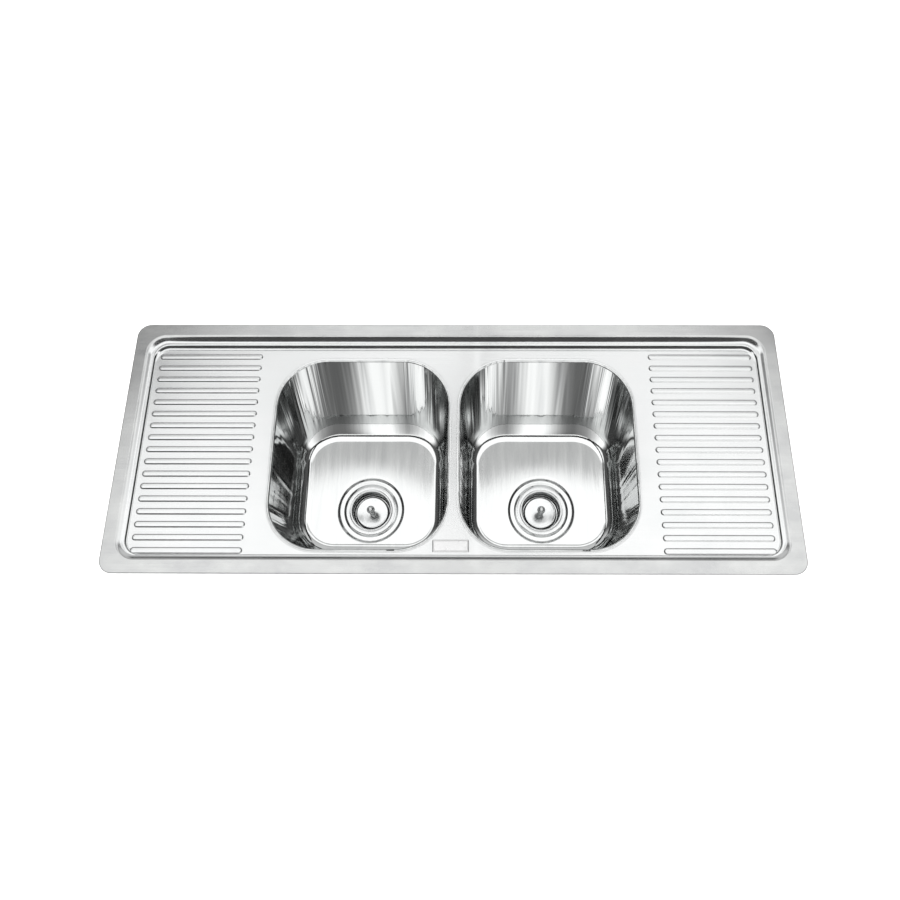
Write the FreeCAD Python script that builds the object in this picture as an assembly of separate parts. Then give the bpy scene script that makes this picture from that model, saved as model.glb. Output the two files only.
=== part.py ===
import FreeCAD
import Part
import math
import os

# Inset kitchen sink top: two pressed bowls between two ribbed drainers, with basket wastes.
# Millimetres. +X to the right, +Y to the back, +Z up.
# Origin: centre of the rim's outline, on the worktop surface that the rim seal rests on.

# ---- driving dimensions ----
SHEET = 0.9
RIM_LENGTH = 1280.0
RIM_WIDTH = 500.0
RIM_CORNER_R = 26.0
RIM_TOP_Z = 4.0
SKIRT_LOW_Z = 0.8
SKIRT_EDGE_R = 1.2
STEP_EDGE_R = 2.0

# Pressed step inside the rim: half length, front edge, back edge, corner radius.
STEP_TOP = (617.0, -225.0, 226.0, 38.0)
STEP_FOOT = (603.0, -217.0, 210.0, 28.0)
LEDGE_EDGE = (601.5, -216.2, 207.0, 30.0)
LEDGE_FOOT = (598.5, -214.5, 198.5, 28.0)
LEDGE_Z = -0.8
DECK_Z = -4.0
SLOPE_SHIFT = 0.2

# Drainer ribs.
RIB_COUNT = 17
RIB_PITCH = 24.3
RIB_BACK_Y = 181.5
RIB_INNER_X = 384.0
RIB_OUTER_X = 590.0
RIB_WIDTH = 13.0
RIB_HEIGHT = 1.8
RIB_SIDE = 1.7
RIB_EDGE_R = 0.8

# Bowls.
BOWL_X = 179.0
BOWL_Y = -16.0
BOWL_LENGTH_X = 333.0
BOWL_LENGTH_Y = 375.0
BOWL_CORNER_R = 94.0
BOWL_DEPTH = 177.0
BOWL_INSET = 15.5
BOWL_BACK_INSET = 84.0
BOWL_FLOOR_CORNER_R = 80.0
BOWL_FLOOR_R = 34.0
BOWL_LIP = 4.0
BOWL_LIP_R = 2.5
FLOOR_Z = DECK_Z - BOWL_DEPTH

# Waste recess in each bowl floor.
DRAIN_Y = -89.3
RECESS_R = 69.8
RECESS_FOOT_R = 65.2
RECESS_DEPTH = 3.5
RECESS_RISE = 4.0
WASTE_HOLE_R = 45.0
RECESS_Z = FLOOR_Z - RECESS_DEPTH
RECESS_UNDER_Z = RECESS_Z - SHEET

# Waste fitting, 114 mm flange.
SEAL_T = 1.6
FLANGE_R = 57.25
FLANGE_T = 1.0
MOUTH_R = 39.0
CUP_WALL = 1.2
THREAD_R = 43.0
SPIGOT_R = 23.8
SPIGOT_BORE_R = 21.0
FLANGE_Z = RECESS_Z + SEAL_T + FLANGE_T
CUP_SEAT_Z = FLANGE_Z - 42.0
CUP_FLOOR_Z = FLANGE_Z - 54.0
SPIGOT_LOW_Z = FLANGE_Z - 78.0
UNDER_WASHER_T = 3.0
FRICTION_RING_T = 1.0
LOCK_NUT_T = 13.0
LOCK_NUT_R = 53.0
LOCK_NUT_LUGS = 8
THREAD_GAP = 0.1

# Outlet pipe.
TAIL_R = 20.0
TAIL_BORE_R = 18.4
TAIL_FLANGE_R = 23.4
TAIL_FLANGE_T = 2.0
TAIL_WASHER_T = 2.0
TAIL_LOW_Z = SPIGOT_LOW_Z - 108.0
TAIL_STOP_Z = TAIL_LOW_Z + 48.0
TAIL_STOP_R = 21.5
TAIL_STOP_T = 3.0
BRANCH_COLLAR = 30.0
COUPLING_R = 28.5
COUPLING_TOP_Z = SPIGOT_LOW_Z + 14.0
COUPLING_LOW_Z = SPIGOT_LOW_Z - 8.0
COUPLING_RIBS = 12

# Basket, lifted out by its knob.
COVER_R = 33.0
COVER_T = 0.8
COVER_DROP = 21.0
COVER_DISH = 2.0
BASKET_TOP_R = 37.6
BASKET_WALL_R = 34.5
BASKET_FOOT_R = 27.5
BASKET_WALL = 0.8
BASKET_TOP_Z = FLANGE_Z - 27.0
BASKET_LOW_Z = FLANGE_Z - 45.5
BASKET_HOLE_R = 1.8
BASKET_FOOT_RINGS = ((12.0, 8), (21.0, 14))
BASKET_WALL_ROWS = 2
BASKET_WALL_HOLES = 16
ROD_GAP = 0.1
KNOB_R = 8.5
KNOB_Z = FLANGE_Z + 5.0
POST_R = 3.0
COLLAR_R = 5.5
POST_LOW_Z = CUP_FLOOR_Z - 6.0
STOPPER_R = 30.0
STOPPER_T = 4.0
SPIDER_Z = CUP_FLOOR_Z - 8.0
SPIDER_T = 4.0
SPIDER_HUB_R = 7.0
SPIDER_ARM_T = 2.4

# Overflow of the left bowl.
OVERFLOW_Y = -98.0
OVERFLOW_Z = DECK_Z - 27.0
OVERFLOW_HOLE_R = 2.5
OVERFLOW_PITCH = 8.8
OVERFLOW_HALF_Y = 23.0
OVERFLOW_HALF_Z = 11.0
OVERFLOW_DEPTH = 25.0
OVERFLOW_WALL = 2.0
GASKET_T = 2.0
STUD_OFFSET_Y = 18.5
STUD_R = 2.0
STUD_LENGTH = 11.0
HOSE_X = -359.0
HOSE_TOP_Z = OVERFLOW_Z - 12.0
HOSE_LOW_Z = SPIGOT_LOW_Z - 45.0
HOSE_R = 9.5
HOSE_BORE_R = 8.0
HOSE_BEND_R = 90.0
HOSE_END = 26.0
HOUSING_HALF_Y = 14.0
HOUSING_HALF_Z = 9.0
HOUSING_FLANGE_T = 2.5
GASKET_WINDOW = (13.0, 5.0)
NUT_T = 3.2
SPUR_R = 7.9
SPUR_BORE_R = 6.2
SPUR_LENGTH = 22.0
CLAMP_R = 10.4
CLAMP_WIDTH = 8.0

# Plates on the sheet: badge, sound pads, stiffeners and earth point.
BADGE_X = -4.0
BADGE_Y = -198.0
BADGE_LENGTH = 67.0
BADGE_DEPTH = 23.0
BADGE_FRAME = 3.0
BADGE_T = 0.9
PAD_Y = 22.0
PAD_LENGTH = 150.0
PAD_DEPTH = 76.0
PAD_T = 2.5
STIFFENER_FRONT_Y = -190.0
STIFFENER_BACK_Y = 175.0
STIFFENER_HALF = 20.0
STIFFENER_HEIGHT = 14.0
STIFFENER_FLANGE = 14.0
STIFFENER_T = 1.0
EARTH_X = -371.0
EARTH_Y = 120.0
EARTH_WIDTH = 16.0
EARTH_FOOT = 12.0
EARTH_DROP = 24.0
EARTH_T = 1.5
EARTH_SCREW_R = 2.45
EARTH_SCREW_LENGTH = 12.0
EARTH_HEAD_R = 4.5
EARTH_HEAD_T = 3.2
EARTH_NUT_T = 4.0

# Rim seal and fixing clips.
SEAL_INSET = 1.2
SEAL_WIDTH = 8.0
CLIP_FRONT_X = 430.0
CLIP_SCREW_INSET = 16.0
CLIP_HALF_WIDTH = 12.0
CLIP_PLATE = 1.5
CLIP_LOW_Z = -64.0
TAB_LOW_Z = -23.0
TAB_T = 3.0
SCREW_R = 2.45
SCREW_GAP = 0.05
SCREW_TOP_Z = -2.0
JAW_LOW_Z = -50.0
JAW_TIP_Z = -27.0
JAW_HOLE_R = 2.7
JAW_BACK = -4.8
JAW_REACH = 8.5
JAW_HALF_WIDTH = 8.0
JAW_ARM_T = 3.0
JAW_LEG_T = 2.5
JAW_CHEEK_T = 1.5
JAW_CHEEK_LENGTH = 8.0
JAW_CHEEK_HEIGHT = 13.0
TOOTH_PITCH = 4.0
TOOTH_DEPTH = 1.8
HEAD_R = 4.5
HEAD_T = 3.6
HEAD_GAP = 0.1
HEAD_SLOT = (4.0, 0.6, 1.6)
BRACKET_BACK = -6.6
BRACKET_FRONT = 3.8


# ---- helpers ----
def vec(x, y, z):
    return FreeCAD.Vector(x, y, z)


def box(x0, x1, y0, y1, z0, z1):
    return Part.makeBox(x1 - x0, y1 - y0, z1 - z0, vec(x0, y0, z0))


def cylinder(radius, z0, z1, x=0.0, y=0.0):
    return Part.makeCylinder(radius, z1 - z0, vec(x, y, z0))


def tube(outer_r, inner_r, z0, z1, x=0.0, y=0.0):
    return cylinder(outer_r, z0, z1, x, y).cut(cylinder(inner_r, z0, z1, x, y))


def rounded_rect(x0, x1, y0, y1, radius, z):
    """Closed wire of a rectangle with round corners, at height z."""
    k = radius * (1.0 - math.sqrt(0.5))
    corners = [
        ((x1 - radius, y0), (x1 - k, y0 + k), (x1, y0 + radius)),
        ((x1, y1 - radius), (x1 - k, y1 - k), (x1 - radius, y1)),
        ((x0 + radius, y1), (x0 + k, y1 - k), (x0, y1 - radius)),
        ((x0, y0 + radius), (x0 + k, y0 + k), (x0 + radius, y0)),
    ]
    edges = []
    for index, corner in enumerate(corners):
        points = [vec(px, py, z) for px, py in corner]
        edges.append(Part.Arc(*points).toShape())
        next_x, next_y = corners[(index + 1) % 4][0]
        edges.append(Part.LineSegment(points[2], vec(next_x, next_y, z)).toShape())
    return Part.Wire(edges)


def centred_rect(cx, cy, length_x, length_y, radius, z):
    half_x = length_x / 2.0
    half_y = length_y / 2.0
    return rounded_rect(cx - half_x, cx + half_x, cy - half_y, cy + half_y, radius, z)


def prism(wire, height):
    return Part.Face(wire).extrude(vec(0, 0, height))


def ruled_solid(low_wire, high_wire):
    return Part.makeLoft([low_wire, high_wire], True, True)


def revolved(points, x=0.0, y=0.0):
    """Solid of revolution about the vertical line at x, y, from (radius, z) points."""
    corners = [vec(r, 0, z) for r, z in points]
    face = Part.Face(Part.makePolygon(corners + [corners[0]]))
    solid = face.revolve(vec(0, 0, 0), vec(0, 0, 1), 360)
    solid.translate(vec(x, y, 0))
    return solid


def turned(shape, degrees, x=0.0, y=0.0):
    copy = shape.copy()
    copy.rotate(vec(x, y, 0), vec(0, 0, 1), degrees)
    return copy


def edges_at(shape, z, limit=None):
    """Edges lying wholly at height z, only those inside the closed wire limit if one is given."""
    area = Part.Face(limit) if limit else None
    found = []
    for edge in shape.Edges:
        bounds = edge.BoundBox
        flat = abs(bounds.ZMin - z) < 1e-4 and abs(bounds.ZMax - z) < 1e-4
        middle = edge.valueAt((edge.FirstParameter + edge.LastParameter) / 2.0)
        if flat and (area is None or area.isInside(middle, 1e-3, True)):
            found.append(edge)
    return found


def save(node, shape):
    """Write one node's STEP file, as a single solid where the shape is one."""
    solids = shape.Solids
    if len(solids) == 1:
        shape = solids[0]
    else:
        shape = Part.makeCompound(solids)
    if not shape.isValid():
        raise ValueError(node + " is not a valid shape")
    shape.exportStep(os.path.join("parts", node + ".step"))
    print(node, len(solids), round(shape.Volume / 1000.0, 2), "cm3")


# ---- pressed deck ----
def step_wire(outline, z, grow=0.0):
    half, front, back, radius = outline
    return rounded_rect(-half - grow, half + grow, front - grow, back + grow, radius + grow, z)


def pan_volume(grow, drop):
    """The space inside the rim, down to the deck, grown outwards and lowered."""
    ledge_z = LEDGE_Z - drop
    step = ruled_solid(step_wire(STEP_FOOT, ledge_z, grow), step_wire(STEP_TOP, RIM_TOP_Z - drop, grow))
    ledge = ruled_solid(step_wire(LEDGE_FOOT, DECK_Z - drop, grow), step_wire(LEDGE_EDGE, ledge_z, grow))
    return step.fuse(ledge)


def rim_outline(inset, z):
    return centred_rect(0, 0, RIM_LENGTH - 2 * inset, RIM_WIDTH - 2 * inset, RIM_CORNER_R - inset, z)


def rim_shell():
    """Flat rim with its turned-down outer edge."""
    slab = prism(rim_outline(0, SKIRT_LOW_Z), RIM_TOP_Z - SKIRT_LOW_Z)
    edge = edges_at(slab, RIM_TOP_Z)
    slab = slab.makeFillet(SKIRT_EDGE_R, edge)
    hollow = prism(rim_outline(SHEET, SKIRT_LOW_Z), RIM_TOP_Z - SHEET - SKIRT_LOW_Z)
    return slab.cut(hollow)


def stadium(x0, x1, y, half_width, z):
    """Closed wire with two straight sides and two round ends."""
    left = x0 + half_width
    right = x1 - half_width
    low_line = Part.LineSegment(vec(left, y - half_width, z), vec(right, y - half_width, z))
    right_end = Part.Arc(vec(right, y - half_width, z), vec(x1, y, z), vec(right, y + half_width, z))
    high_line = Part.LineSegment(vec(right, y + half_width, z), vec(left, y + half_width, z))
    left_end = Part.Arc(vec(left, y + half_width, z), vec(x0, y, z), vec(left, y - half_width, z))
    return Part.Wire([part.toShape() for part in (low_line, right_end, high_line, left_end)])


def rib_solid(x0, x1, inset, low_z, high_z):
    """One drainer rib, with its sloping sides carried down to low_z."""
    rise = high_z - low_z
    spread = RIB_SIDE * rise / RIB_HEIGHT
    top_inset = inset + RIB_SIDE
    foot_inset = top_inset - spread
    foot = stadium(x0 + foot_inset, x1 - foot_inset, 0, RIB_WIDTH / 2 - foot_inset, low_z)
    top = stadium(x0 + top_inset, x1 - top_inset, 0, RIB_WIDTH / 2 - top_inset, high_z)
    solid = ruled_solid(foot, top)
    return solid.makeFillet(RIB_EDGE_R, edges_at(solid, high_z))


def rib_rows(solid):
    """Copies of one rib down both drainers."""
    rows = []
    for row in range(RIB_COUNT):
        y = RIB_BACK_Y - row * RIB_PITCH
        right = solid.copy()
        right.translate(vec(0, y, 0))
        left = solid.copy()
        left.translate(vec(-RIB_INNER_X - RIB_OUTER_X, y, 0))
        rows += [left, right]
    return Part.makeCompound(rows)


def sink_deck():
    deck = rim_shell().fuse(pan_volume(SLOPE_SHIFT, SHEET)).cut(pan_volume(0.0, 0.0))
    raised = rib_solid(RIB_INNER_X, RIB_OUTER_X, 0.0, DECK_Z - SHEET / 2, DECK_Z + RIB_HEIGHT)
    hollow = rib_solid(RIB_INNER_X, RIB_OUTER_X, SHEET / 2, DECK_Z - 2 * SHEET, DECK_Z + RIB_HEIGHT - SHEET)
    deck = deck.fuse(rib_rows(raised)).cut(rib_rows(hollow))
    for side in (-1, 1):
        hole = bowl_outline(side * BOWL_X, BOWL_LIP, DECK_Z - 5)
        deck = deck.cut(prism(hole, 10))
    inner_edge = edges_at(deck, RIM_TOP_Z, step_wire(STEP_TOP, RIM_TOP_Z, 1.0))
    return deck.makeFillet(STEP_EDGE_R, inner_edge)


# ---- bowls ----
def bowl_outline(x, grow, z):
    length_x = BOWL_LENGTH_X + 2 * grow
    length_y = BOWL_LENGTH_Y + 2 * grow
    return centred_rect(x, BOWL_Y, length_x, length_y, BOWL_CORNER_R + grow, z)


def bowl_volume(x, grow, drop, floor_r):
    """Bowl space grown outwards by grow, its floor lowered by drop, with the waste recess."""
    half_x = BOWL_LENGTH_X / 2 - BOWL_INSET + grow
    front_y = BOWL_Y - BOWL_LENGTH_Y / 2 + BOWL_INSET - grow
    back_y = BOWL_Y + BOWL_LENGTH_Y / 2 - BOWL_BACK_INSET + grow
    floor_z = FLOOR_Z - drop
    corner_r = BOWL_FLOOR_CORNER_R + grow
    floor = rounded_rect(x - half_x, x + half_x, front_y, back_y, corner_r, floor_z)
    body = ruled_solid(floor, bowl_outline(x, grow, DECK_Z))
    body = body.makeFillet(floor_r, edges_at(body, floor_z))
    recess = revolved([
        (0, floor_z - RECESS_DEPTH),
        (RECESS_FOOT_R + grow, floor_z - RECESS_DEPTH),
        (RECESS_R + grow, floor_z),
        (RECESS_R + grow, FLOOR_Z + RECESS_RISE),
        (0, FLOOR_Z + RECESS_RISE),
    ], x, DRAIN_Y)
    return body.fuse(recess)


def bowl(side):
    x = side * BOWL_X
    lip = prism(bowl_outline(x, BOWL_LIP, DECK_Z - SHEET), SHEET)
    shell = bowl_volume(x, SHEET, SHEET, BOWL_FLOOR_R + SHEET).fuse(lip).removeSplitter()
    under_z = DECK_Z - SHEET
    shell = shell.makeFillet(BOWL_LIP_R, edges_at(shell, under_z, bowl_outline(x, SHEET + 0.5, under_z)))
    shell = shell.cut(bowl_volume(x, 0.0, 0.0, BOWL_FLOOR_R))
    shell = shell.makeFillet(BOWL_LIP_R, edges_at(shell, DECK_Z, bowl_outline(x, 0.5, DECK_Z)))
    shell = shell.cut(cylinder(WASTE_HOLE_R, RECESS_Z - 5, RECESS_Z + 5, x, DRAIN_Y))
    if side < 0:
        for tool in overflow_holes():
            shell = shell.cut(tool)
    return shell


# ---- overflow of the left bowl ----
def wall_x(z):
    """Outer face of the left bowl's left wall at height z."""
    lean = BOWL_INSET * (DECK_Z - z) / (BOWL_DEPTH + SHEET)
    return -BOWL_X - BOWL_LENGTH_X / 2 + lean - SHEET


def along_x(radius, x0, x1, y, z):
    return Part.makeCylinder(radius, x1 - x0, vec(x0, y, z), vec(1, 0, 0))


def overflow_holes():
    x = wall_x(OVERFLOW_Z)
    rows = [OVERFLOW_Y + step * OVERFLOW_PITCH for step in (-1, 0, 1)]
    return [along_x(OVERFLOW_HOLE_R, x - 4, x + 6, y, OVERFLOW_Z) for y in rows]


def on_wall(shape):
    """Turn a shape built square to X so that it lies on the leaning bowl wall."""
    angle = math.degrees(math.atan(BOWL_INSET / (BOWL_DEPTH + SHEET)))
    copy = shape.copy()
    copy.rotate(vec(wall_x(OVERFLOW_Z), OVERFLOW_Y, OVERFLOW_Z), vec(0, 1, 0), -angle)
    return copy


def overflow_plate(x0, x1, half_y, half_z):
    return box(x0, x1, OVERFLOW_Y - half_y, OVERFLOW_Y + half_y, OVERFLOW_Z - half_z, OVERFLOW_Z + half_z)


def at_studs(radius, x0, x1):
    rows = [OVERFLOW_Y + side * STUD_OFFSET_Y for side in (-1, 1)]
    return [along_x(radius, x0, x1, y, OVERFLOW_Z) for y in rows]


def overflow_gasket():
    x = wall_x(OVERFLOW_Z)
    gasket = overflow_plate(x - GASKET_T, x, OVERFLOW_HALF_Y, OVERFLOW_HALF_Z)
    gasket = gasket.cut(overflow_plate(x - GASKET_T, x, *GASKET_WINDOW))
    for hole in at_studs(STUD_R + 0.2, x - 5, x + 5):
        gasket = gasket.cut(hole)
    return on_wall(gasket)


def overflow_housing():
    """Plastic box over the overflow holes, with a hose spigot pointing down."""
    x = wall_x(OVERFLOW_Z)
    face = x - GASKET_T
    flange = overflow_plate(face - HOUSING_FLANGE_T, face, OVERFLOW_HALF_Y, OVERFLOW_HALF_Z)
    casing = overflow_plate(x - OVERFLOW_DEPTH, face, HOUSING_HALF_Y, HOUSING_HALF_Z)
    casing = casing.makeFillet(OVERFLOW_WALL, [e for e in casing.Edges if e.BoundBox.XMax < face - 1])
    inside = (HOUSING_HALF_Y - OVERFLOW_WALL, HOUSING_HALF_Z - OVERFLOW_WALL)
    room = overflow_plate(x - OVERFLOW_DEPTH + OVERFLOW_WALL, face, *inside)
    body = flange.fuse(casing).cut(room)
    for hole in at_studs(STUD_R + 0.2, x - 9, x + 5):
        body = body.cut(hole)
    spigot_low = HOSE_TOP_Z - SPUR_LENGTH
    body = on_wall(body).fuse(tube(SPUR_R, SPUR_BORE_R, spigot_low, OVERFLOW_Z - 6, HOSE_X, OVERFLOW_Y))
    return body.cut(cylinder(SPUR_BORE_R, spigot_low, OVERFLOW_Z - 4, HOSE_X, OVERFLOW_Y))


def overflow_studs():
    x = wall_x(OVERFLOW_Z)
    return Part.makeCompound([on_wall(stud) for stud in at_studs(STUD_R, x - STUD_LENGTH, x)])


def hexagon_nut(across_flats, bore_r, thickness):
    """Nut standing on z = 0 with its bore along Z."""
    corner_r = across_flats / math.sqrt(3)
    corners = []
    for angle in range(0, 361, 60):
        turn = math.radians(angle)
        corners.append(vec(corner_r * math.cos(turn), corner_r * math.sin(turn), 0))
    return prism(Part.makePolygon(corners), thickness).cut(cylinder(bore_r, 0, thickness))


def overflow_nuts():
    x = wall_x(OVERFLOW_Z) - GASKET_T - HOUSING_FLANGE_T
    nuts = []
    for side in (-1, 1):
        nut = hexagon_nut(7.0, STUD_R + 0.05, NUT_T)
        nut.rotate(vec(0, 0, 0), vec(0, 1, 0), -90)
        nut.translate(vec(x, OVERFLOW_Y + side * STUD_OFFSET_Y, OVERFLOW_Z))
        nuts.append(on_wall(nut))
    return Part.makeCompound(nuts)


def hose_heading():
    """Unit vector, seen from above, from the overflow spigot to the left outlet pipe."""
    return vec(-BOWL_X - HOSE_X, DRAIN_Y - OVERFLOW_Y, 0).normalize()


def hose_run():
    return math.hypot(-BOWL_X - HOSE_X, DRAIN_Y - OVERFLOW_Y)


def hose_rod(radius):
    """Solid rod along the hose's route: down, one quarter bend, then across to the pipe."""
    heading = hose_heading()
    start = vec(HOSE_X, OVERFLOW_Y, 0)
    bend_z = HOSE_LOW_Z + HOSE_BEND_R
    down = cylinder(radius, bend_z, HOSE_TOP_Z, HOSE_X, OVERFLOW_Y)
    section = Part.Face(Part.Wire(Part.Circle(start + vec(0, 0, bend_z), vec(0, 0, 1), radius).toShape()))
    centre = start + heading * HOSE_BEND_R + vec(0, 0, bend_z)
    axis = heading.cross(vec(0, 0, 1))
    bend = section.revolve(centre, axis, 90)
    across_start = start + heading * HOSE_BEND_R + vec(0, 0, HOSE_LOW_Z)
    across = Part.makeCylinder(radius, hose_run() - HOSE_BEND_R - HOSE_END, across_start, heading)
    return down.fuse(bend).fuse(across)


def overflow_hose():
    return hose_rod(HOSE_R).cut(hose_rod(HOSE_BORE_R))


def hose_clamp():
    """Band with its worm-screw housing, its bore along Z from z = 0."""
    band = tube(CLAMP_R, HOSE_R + 0.1, 0, CLAMP_WIDTH)
    housing = box(CLAMP_R - 1.5, CLAMP_R + 4.5, -7, 7, 0, CLAMP_WIDTH)
    screw = Part.makeCylinder(3.2, 3, vec(CLAMP_R + 1.5, 7, CLAMP_WIDTH / 2), vec(0, 1, 0))
    clamp = band.fuse(housing).fuse(screw)
    return clamp.cut(cylinder(HOSE_R + 0.1, 0, CLAMP_WIDTH))


def hose_clamps():
    heading = hose_heading()
    upper = turned(hose_clamp(), 180)
    upper.translate(vec(HOSE_X, OVERFLOW_Y, HOSE_TOP_Z - CLAMP_WIDTH - 4))
    lower = hose_clamp()
    lower.rotate(vec(0, 0, 0), vec(0, 1, 0), 90)
    lower.rotate(vec(0, 0, 0), vec(0, 0, 1), math.degrees(math.atan2(heading.y, heading.x)))
    offset = hose_run() - HOSE_END - CLAMP_WIDTH - 4
    lower.translate(vec(HOSE_X, OVERFLOW_Y, HOSE_LOW_Z) + heading * offset)
    return Part.makeCompound([upper, lower])


# ---- waste fitting ----
def drain_seal(x):
    return tube(FLANGE_R - 1.5, WASTE_HOLE_R + 0.5, RECESS_Z, RECESS_Z + SEAL_T, x, DRAIN_Y)


def strainer_body(x):
    """Cup with its flange, threaded neck, basket seat and outlet spigot."""
    top = FLANGE_Z
    cup = revolved([
        (MOUTH_R, top - 5.0),
        (MOUTH_R + 1.5, top - 2.0),
        (MOUTH_R + 5.0, top - 0.6),
        (FLANGE_R - 9.0, top),
        (FLANGE_R - 1.0, top),
        (FLANGE_R, top - 0.5),
        (FLANGE_R, top - FLANGE_T),
        (THREAD_R, top - FLANGE_T),
        (THREAD_R, top - 24.0),
        (MOUTH_R + CUP_WALL, top - 26.0),
        (MOUTH_R + CUP_WALL, CUP_SEAT_Z),
        (SPIGOT_R + CUP_WALL, CUP_FLOOR_Z - CUP_WALL),
        (SPIGOT_R, CUP_FLOOR_Z - CUP_WALL),
        (SPIGOT_R, SPIGOT_LOW_Z),
        (SPIGOT_BORE_R, SPIGOT_LOW_Z),
        (SPIGOT_BORE_R, CUP_FLOOR_Z),
        (MOUTH_R - 0.5, CUP_SEAT_Z),
    ], x, DRAIN_Y)
    top = SPIDER_Z + SPIDER_T
    half = SPIDER_ARM_T / 2
    hub = tube(SPIDER_HUB_R, POST_R + 1.0, SPIDER_Z, top, x, DRAIN_Y)
    for angle in (90, 210, 330):
        arm = box(x + 5.5, x + SPIGOT_BORE_R + 1, DRAIN_Y - half, DRAIN_Y + half, SPIDER_Z, top)
        hub = hub.fuse(turned(arm, angle, x, DRAIN_Y))
    return cup.fuse(hub)


def under_washer(x):
    top = RECESS_UNDER_Z
    return tube(57.0, THREAD_R + THREAD_GAP, top - UNDER_WASHER_T, top, x, DRAIN_Y)


def friction_ring(x):
    top = RECESS_UNDER_Z - UNDER_WASHER_T
    return tube(55.0, THREAD_R + THREAD_GAP, top - FRICTION_RING_T, top, x, DRAIN_Y)


def lock_nut(x):
    top = RECESS_UNDER_Z - UNDER_WASHER_T - FRICTION_RING_T
    low = top - LOCK_NUT_T
    nut = cylinder(LOCK_NUT_R - 4, low, top, x, DRAIN_Y)
    nut = nut.fuse(cylinder(LOCK_NUT_R, top - 3, top, x, DRAIN_Y))
    for index in range(LOCK_NUT_LUGS):
        lug = box(x + LOCK_NUT_R - 6, x + LOCK_NUT_R, DRAIN_Y - 4, DRAIN_Y + 4, low, top)
        nut = nut.fuse(turned(lug, index * 360.0 / LOCK_NUT_LUGS, x, DRAIN_Y))
    return nut.cut(cylinder(THREAD_R + THREAD_GAP, low, top, x, DRAIN_Y))


def tailpiece(side):
    """Flanged outlet pipe; the left one carries the overflow spur."""
    x = side * BOWL_X
    top = SPIGOT_LOW_Z - TAIL_WASHER_T
    pipe = cylinder(TAIL_R, TAIL_LOW_Z, top, x, DRAIN_Y)
    pipe = pipe.fuse(cylinder(TAIL_FLANGE_R, top - TAIL_FLANGE_T, top, x, DRAIN_Y))
    collar_top = TAIL_STOP_Z + (BRANCH_COLLAR if side < 0 else TAIL_STOP_T)
    pipe = pipe.fuse(cylinder(TAIL_STOP_R, TAIL_STOP_Z, collar_top, x, DRAIN_Y))
    pipe = pipe.cut(cylinder(TAIL_BORE_R, TAIL_LOW_Z, top, x, DRAIN_Y))
    if side > 0:
        return pipe
    heading = hose_heading()
    root = vec(x, DRAIN_Y, HOSE_LOW_Z) - heading * (TAIL_BORE_R - 3.0)
    length = HOSE_END + SPUR_LENGTH - TAIL_BORE_R + 3.0
    spur = Part.makeCylinder(SPUR_R, length, root, heading * -1)
    bore = Part.makeCylinder(SPUR_BORE_R, length, root, heading * -1)
    spur = spur.cut(cylinder(TAIL_BORE_R, TAIL_LOW_Z, top, x, DRAIN_Y))
    return pipe.fuse(spur).cut(bore)


def tailpiece_washer(x):
    return tube(TAIL_FLANGE_R, SPIGOT_BORE_R - 1.0, SPIGOT_LOW_Z - TAIL_WASHER_T, SPIGOT_LOW_Z, x, DRAIN_Y)


def coupling_nut(x):
    low = COUPLING_LOW_Z
    high = COUPLING_TOP_Z
    nut = cylinder(COUPLING_R - 1.5, low, high, x, DRAIN_Y)
    for index in range(COUPLING_RIBS):
        rib = box(x + COUPLING_R - 5, x + COUPLING_R, DRAIN_Y - 2.5, DRAIN_Y + 2.5, low, high)
        nut = nut.fuse(turned(rib, index * 360.0 / COUPLING_RIBS, x, DRAIN_Y))
    lip_z = SPIGOT_LOW_Z - TAIL_WASHER_T - TAIL_FLANGE_T
    nut = nut.cut(cylinder(SPIGOT_R + THREAD_GAP, lip_z, high, x, DRAIN_Y))
    return nut.cut(cylinder(TAIL_R + 0.3, low, lip_z, x, DRAIN_Y))


# ---- basket ----
def basket(x):
    """Perforated cup with an outward lip, carried by the post."""
    cup = revolved([
        (BASKET_WALL_R, BASKET_TOP_Z),
        (BASKET_TOP_R, BASKET_TOP_Z),
        (BASKET_TOP_R, BASKET_TOP_Z - BASKET_WALL),
        (BASKET_WALL_R + BASKET_WALL, BASKET_TOP_Z - BASKET_WALL),
        (BASKET_FOOT_R + BASKET_WALL, BASKET_LOW_Z),
        (POST_R + ROD_GAP, BASKET_LOW_Z),
        (POST_R + ROD_GAP, BASKET_LOW_Z + BASKET_WALL),
        (BASKET_FOOT_R, BASKET_LOW_Z + BASKET_WALL),
    ], x, DRAIN_Y)
    return cup.cut(Part.makeCompound(basket_holes(x)))


def basket_holes(x):
    """Rings of holes in the basket's foot and rows of them round its wall."""
    holes = []
    for ring_r, count in BASKET_FOOT_RINGS:
        for index in range(count):
            hole = cylinder(BASKET_HOLE_R, BASKET_LOW_Z - 1, BASKET_LOW_Z + 2, x + ring_r, DRAIN_Y)
            holes.append(turned(hole, index * 360.0 / count, x, DRAIN_Y))
    rise = (BASKET_TOP_Z - BASKET_LOW_Z) / (BASKET_WALL_ROWS + 1)
    for row in range(BASKET_WALL_ROWS):
        start = vec(x + BASKET_FOOT_R - 2, DRAIN_Y, BASKET_LOW_Z + (row + 1) * rise)
        for index in range(BASKET_WALL_HOLES):
            hole = Part.makeCylinder(BASKET_HOLE_R, 14, start, vec(1, 0, 0))
            holes.append(turned(hole, (index + 0.5 * row) * 360.0 / BASKET_WALL_HOLES, x, DRAIN_Y))
    return holes


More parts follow.
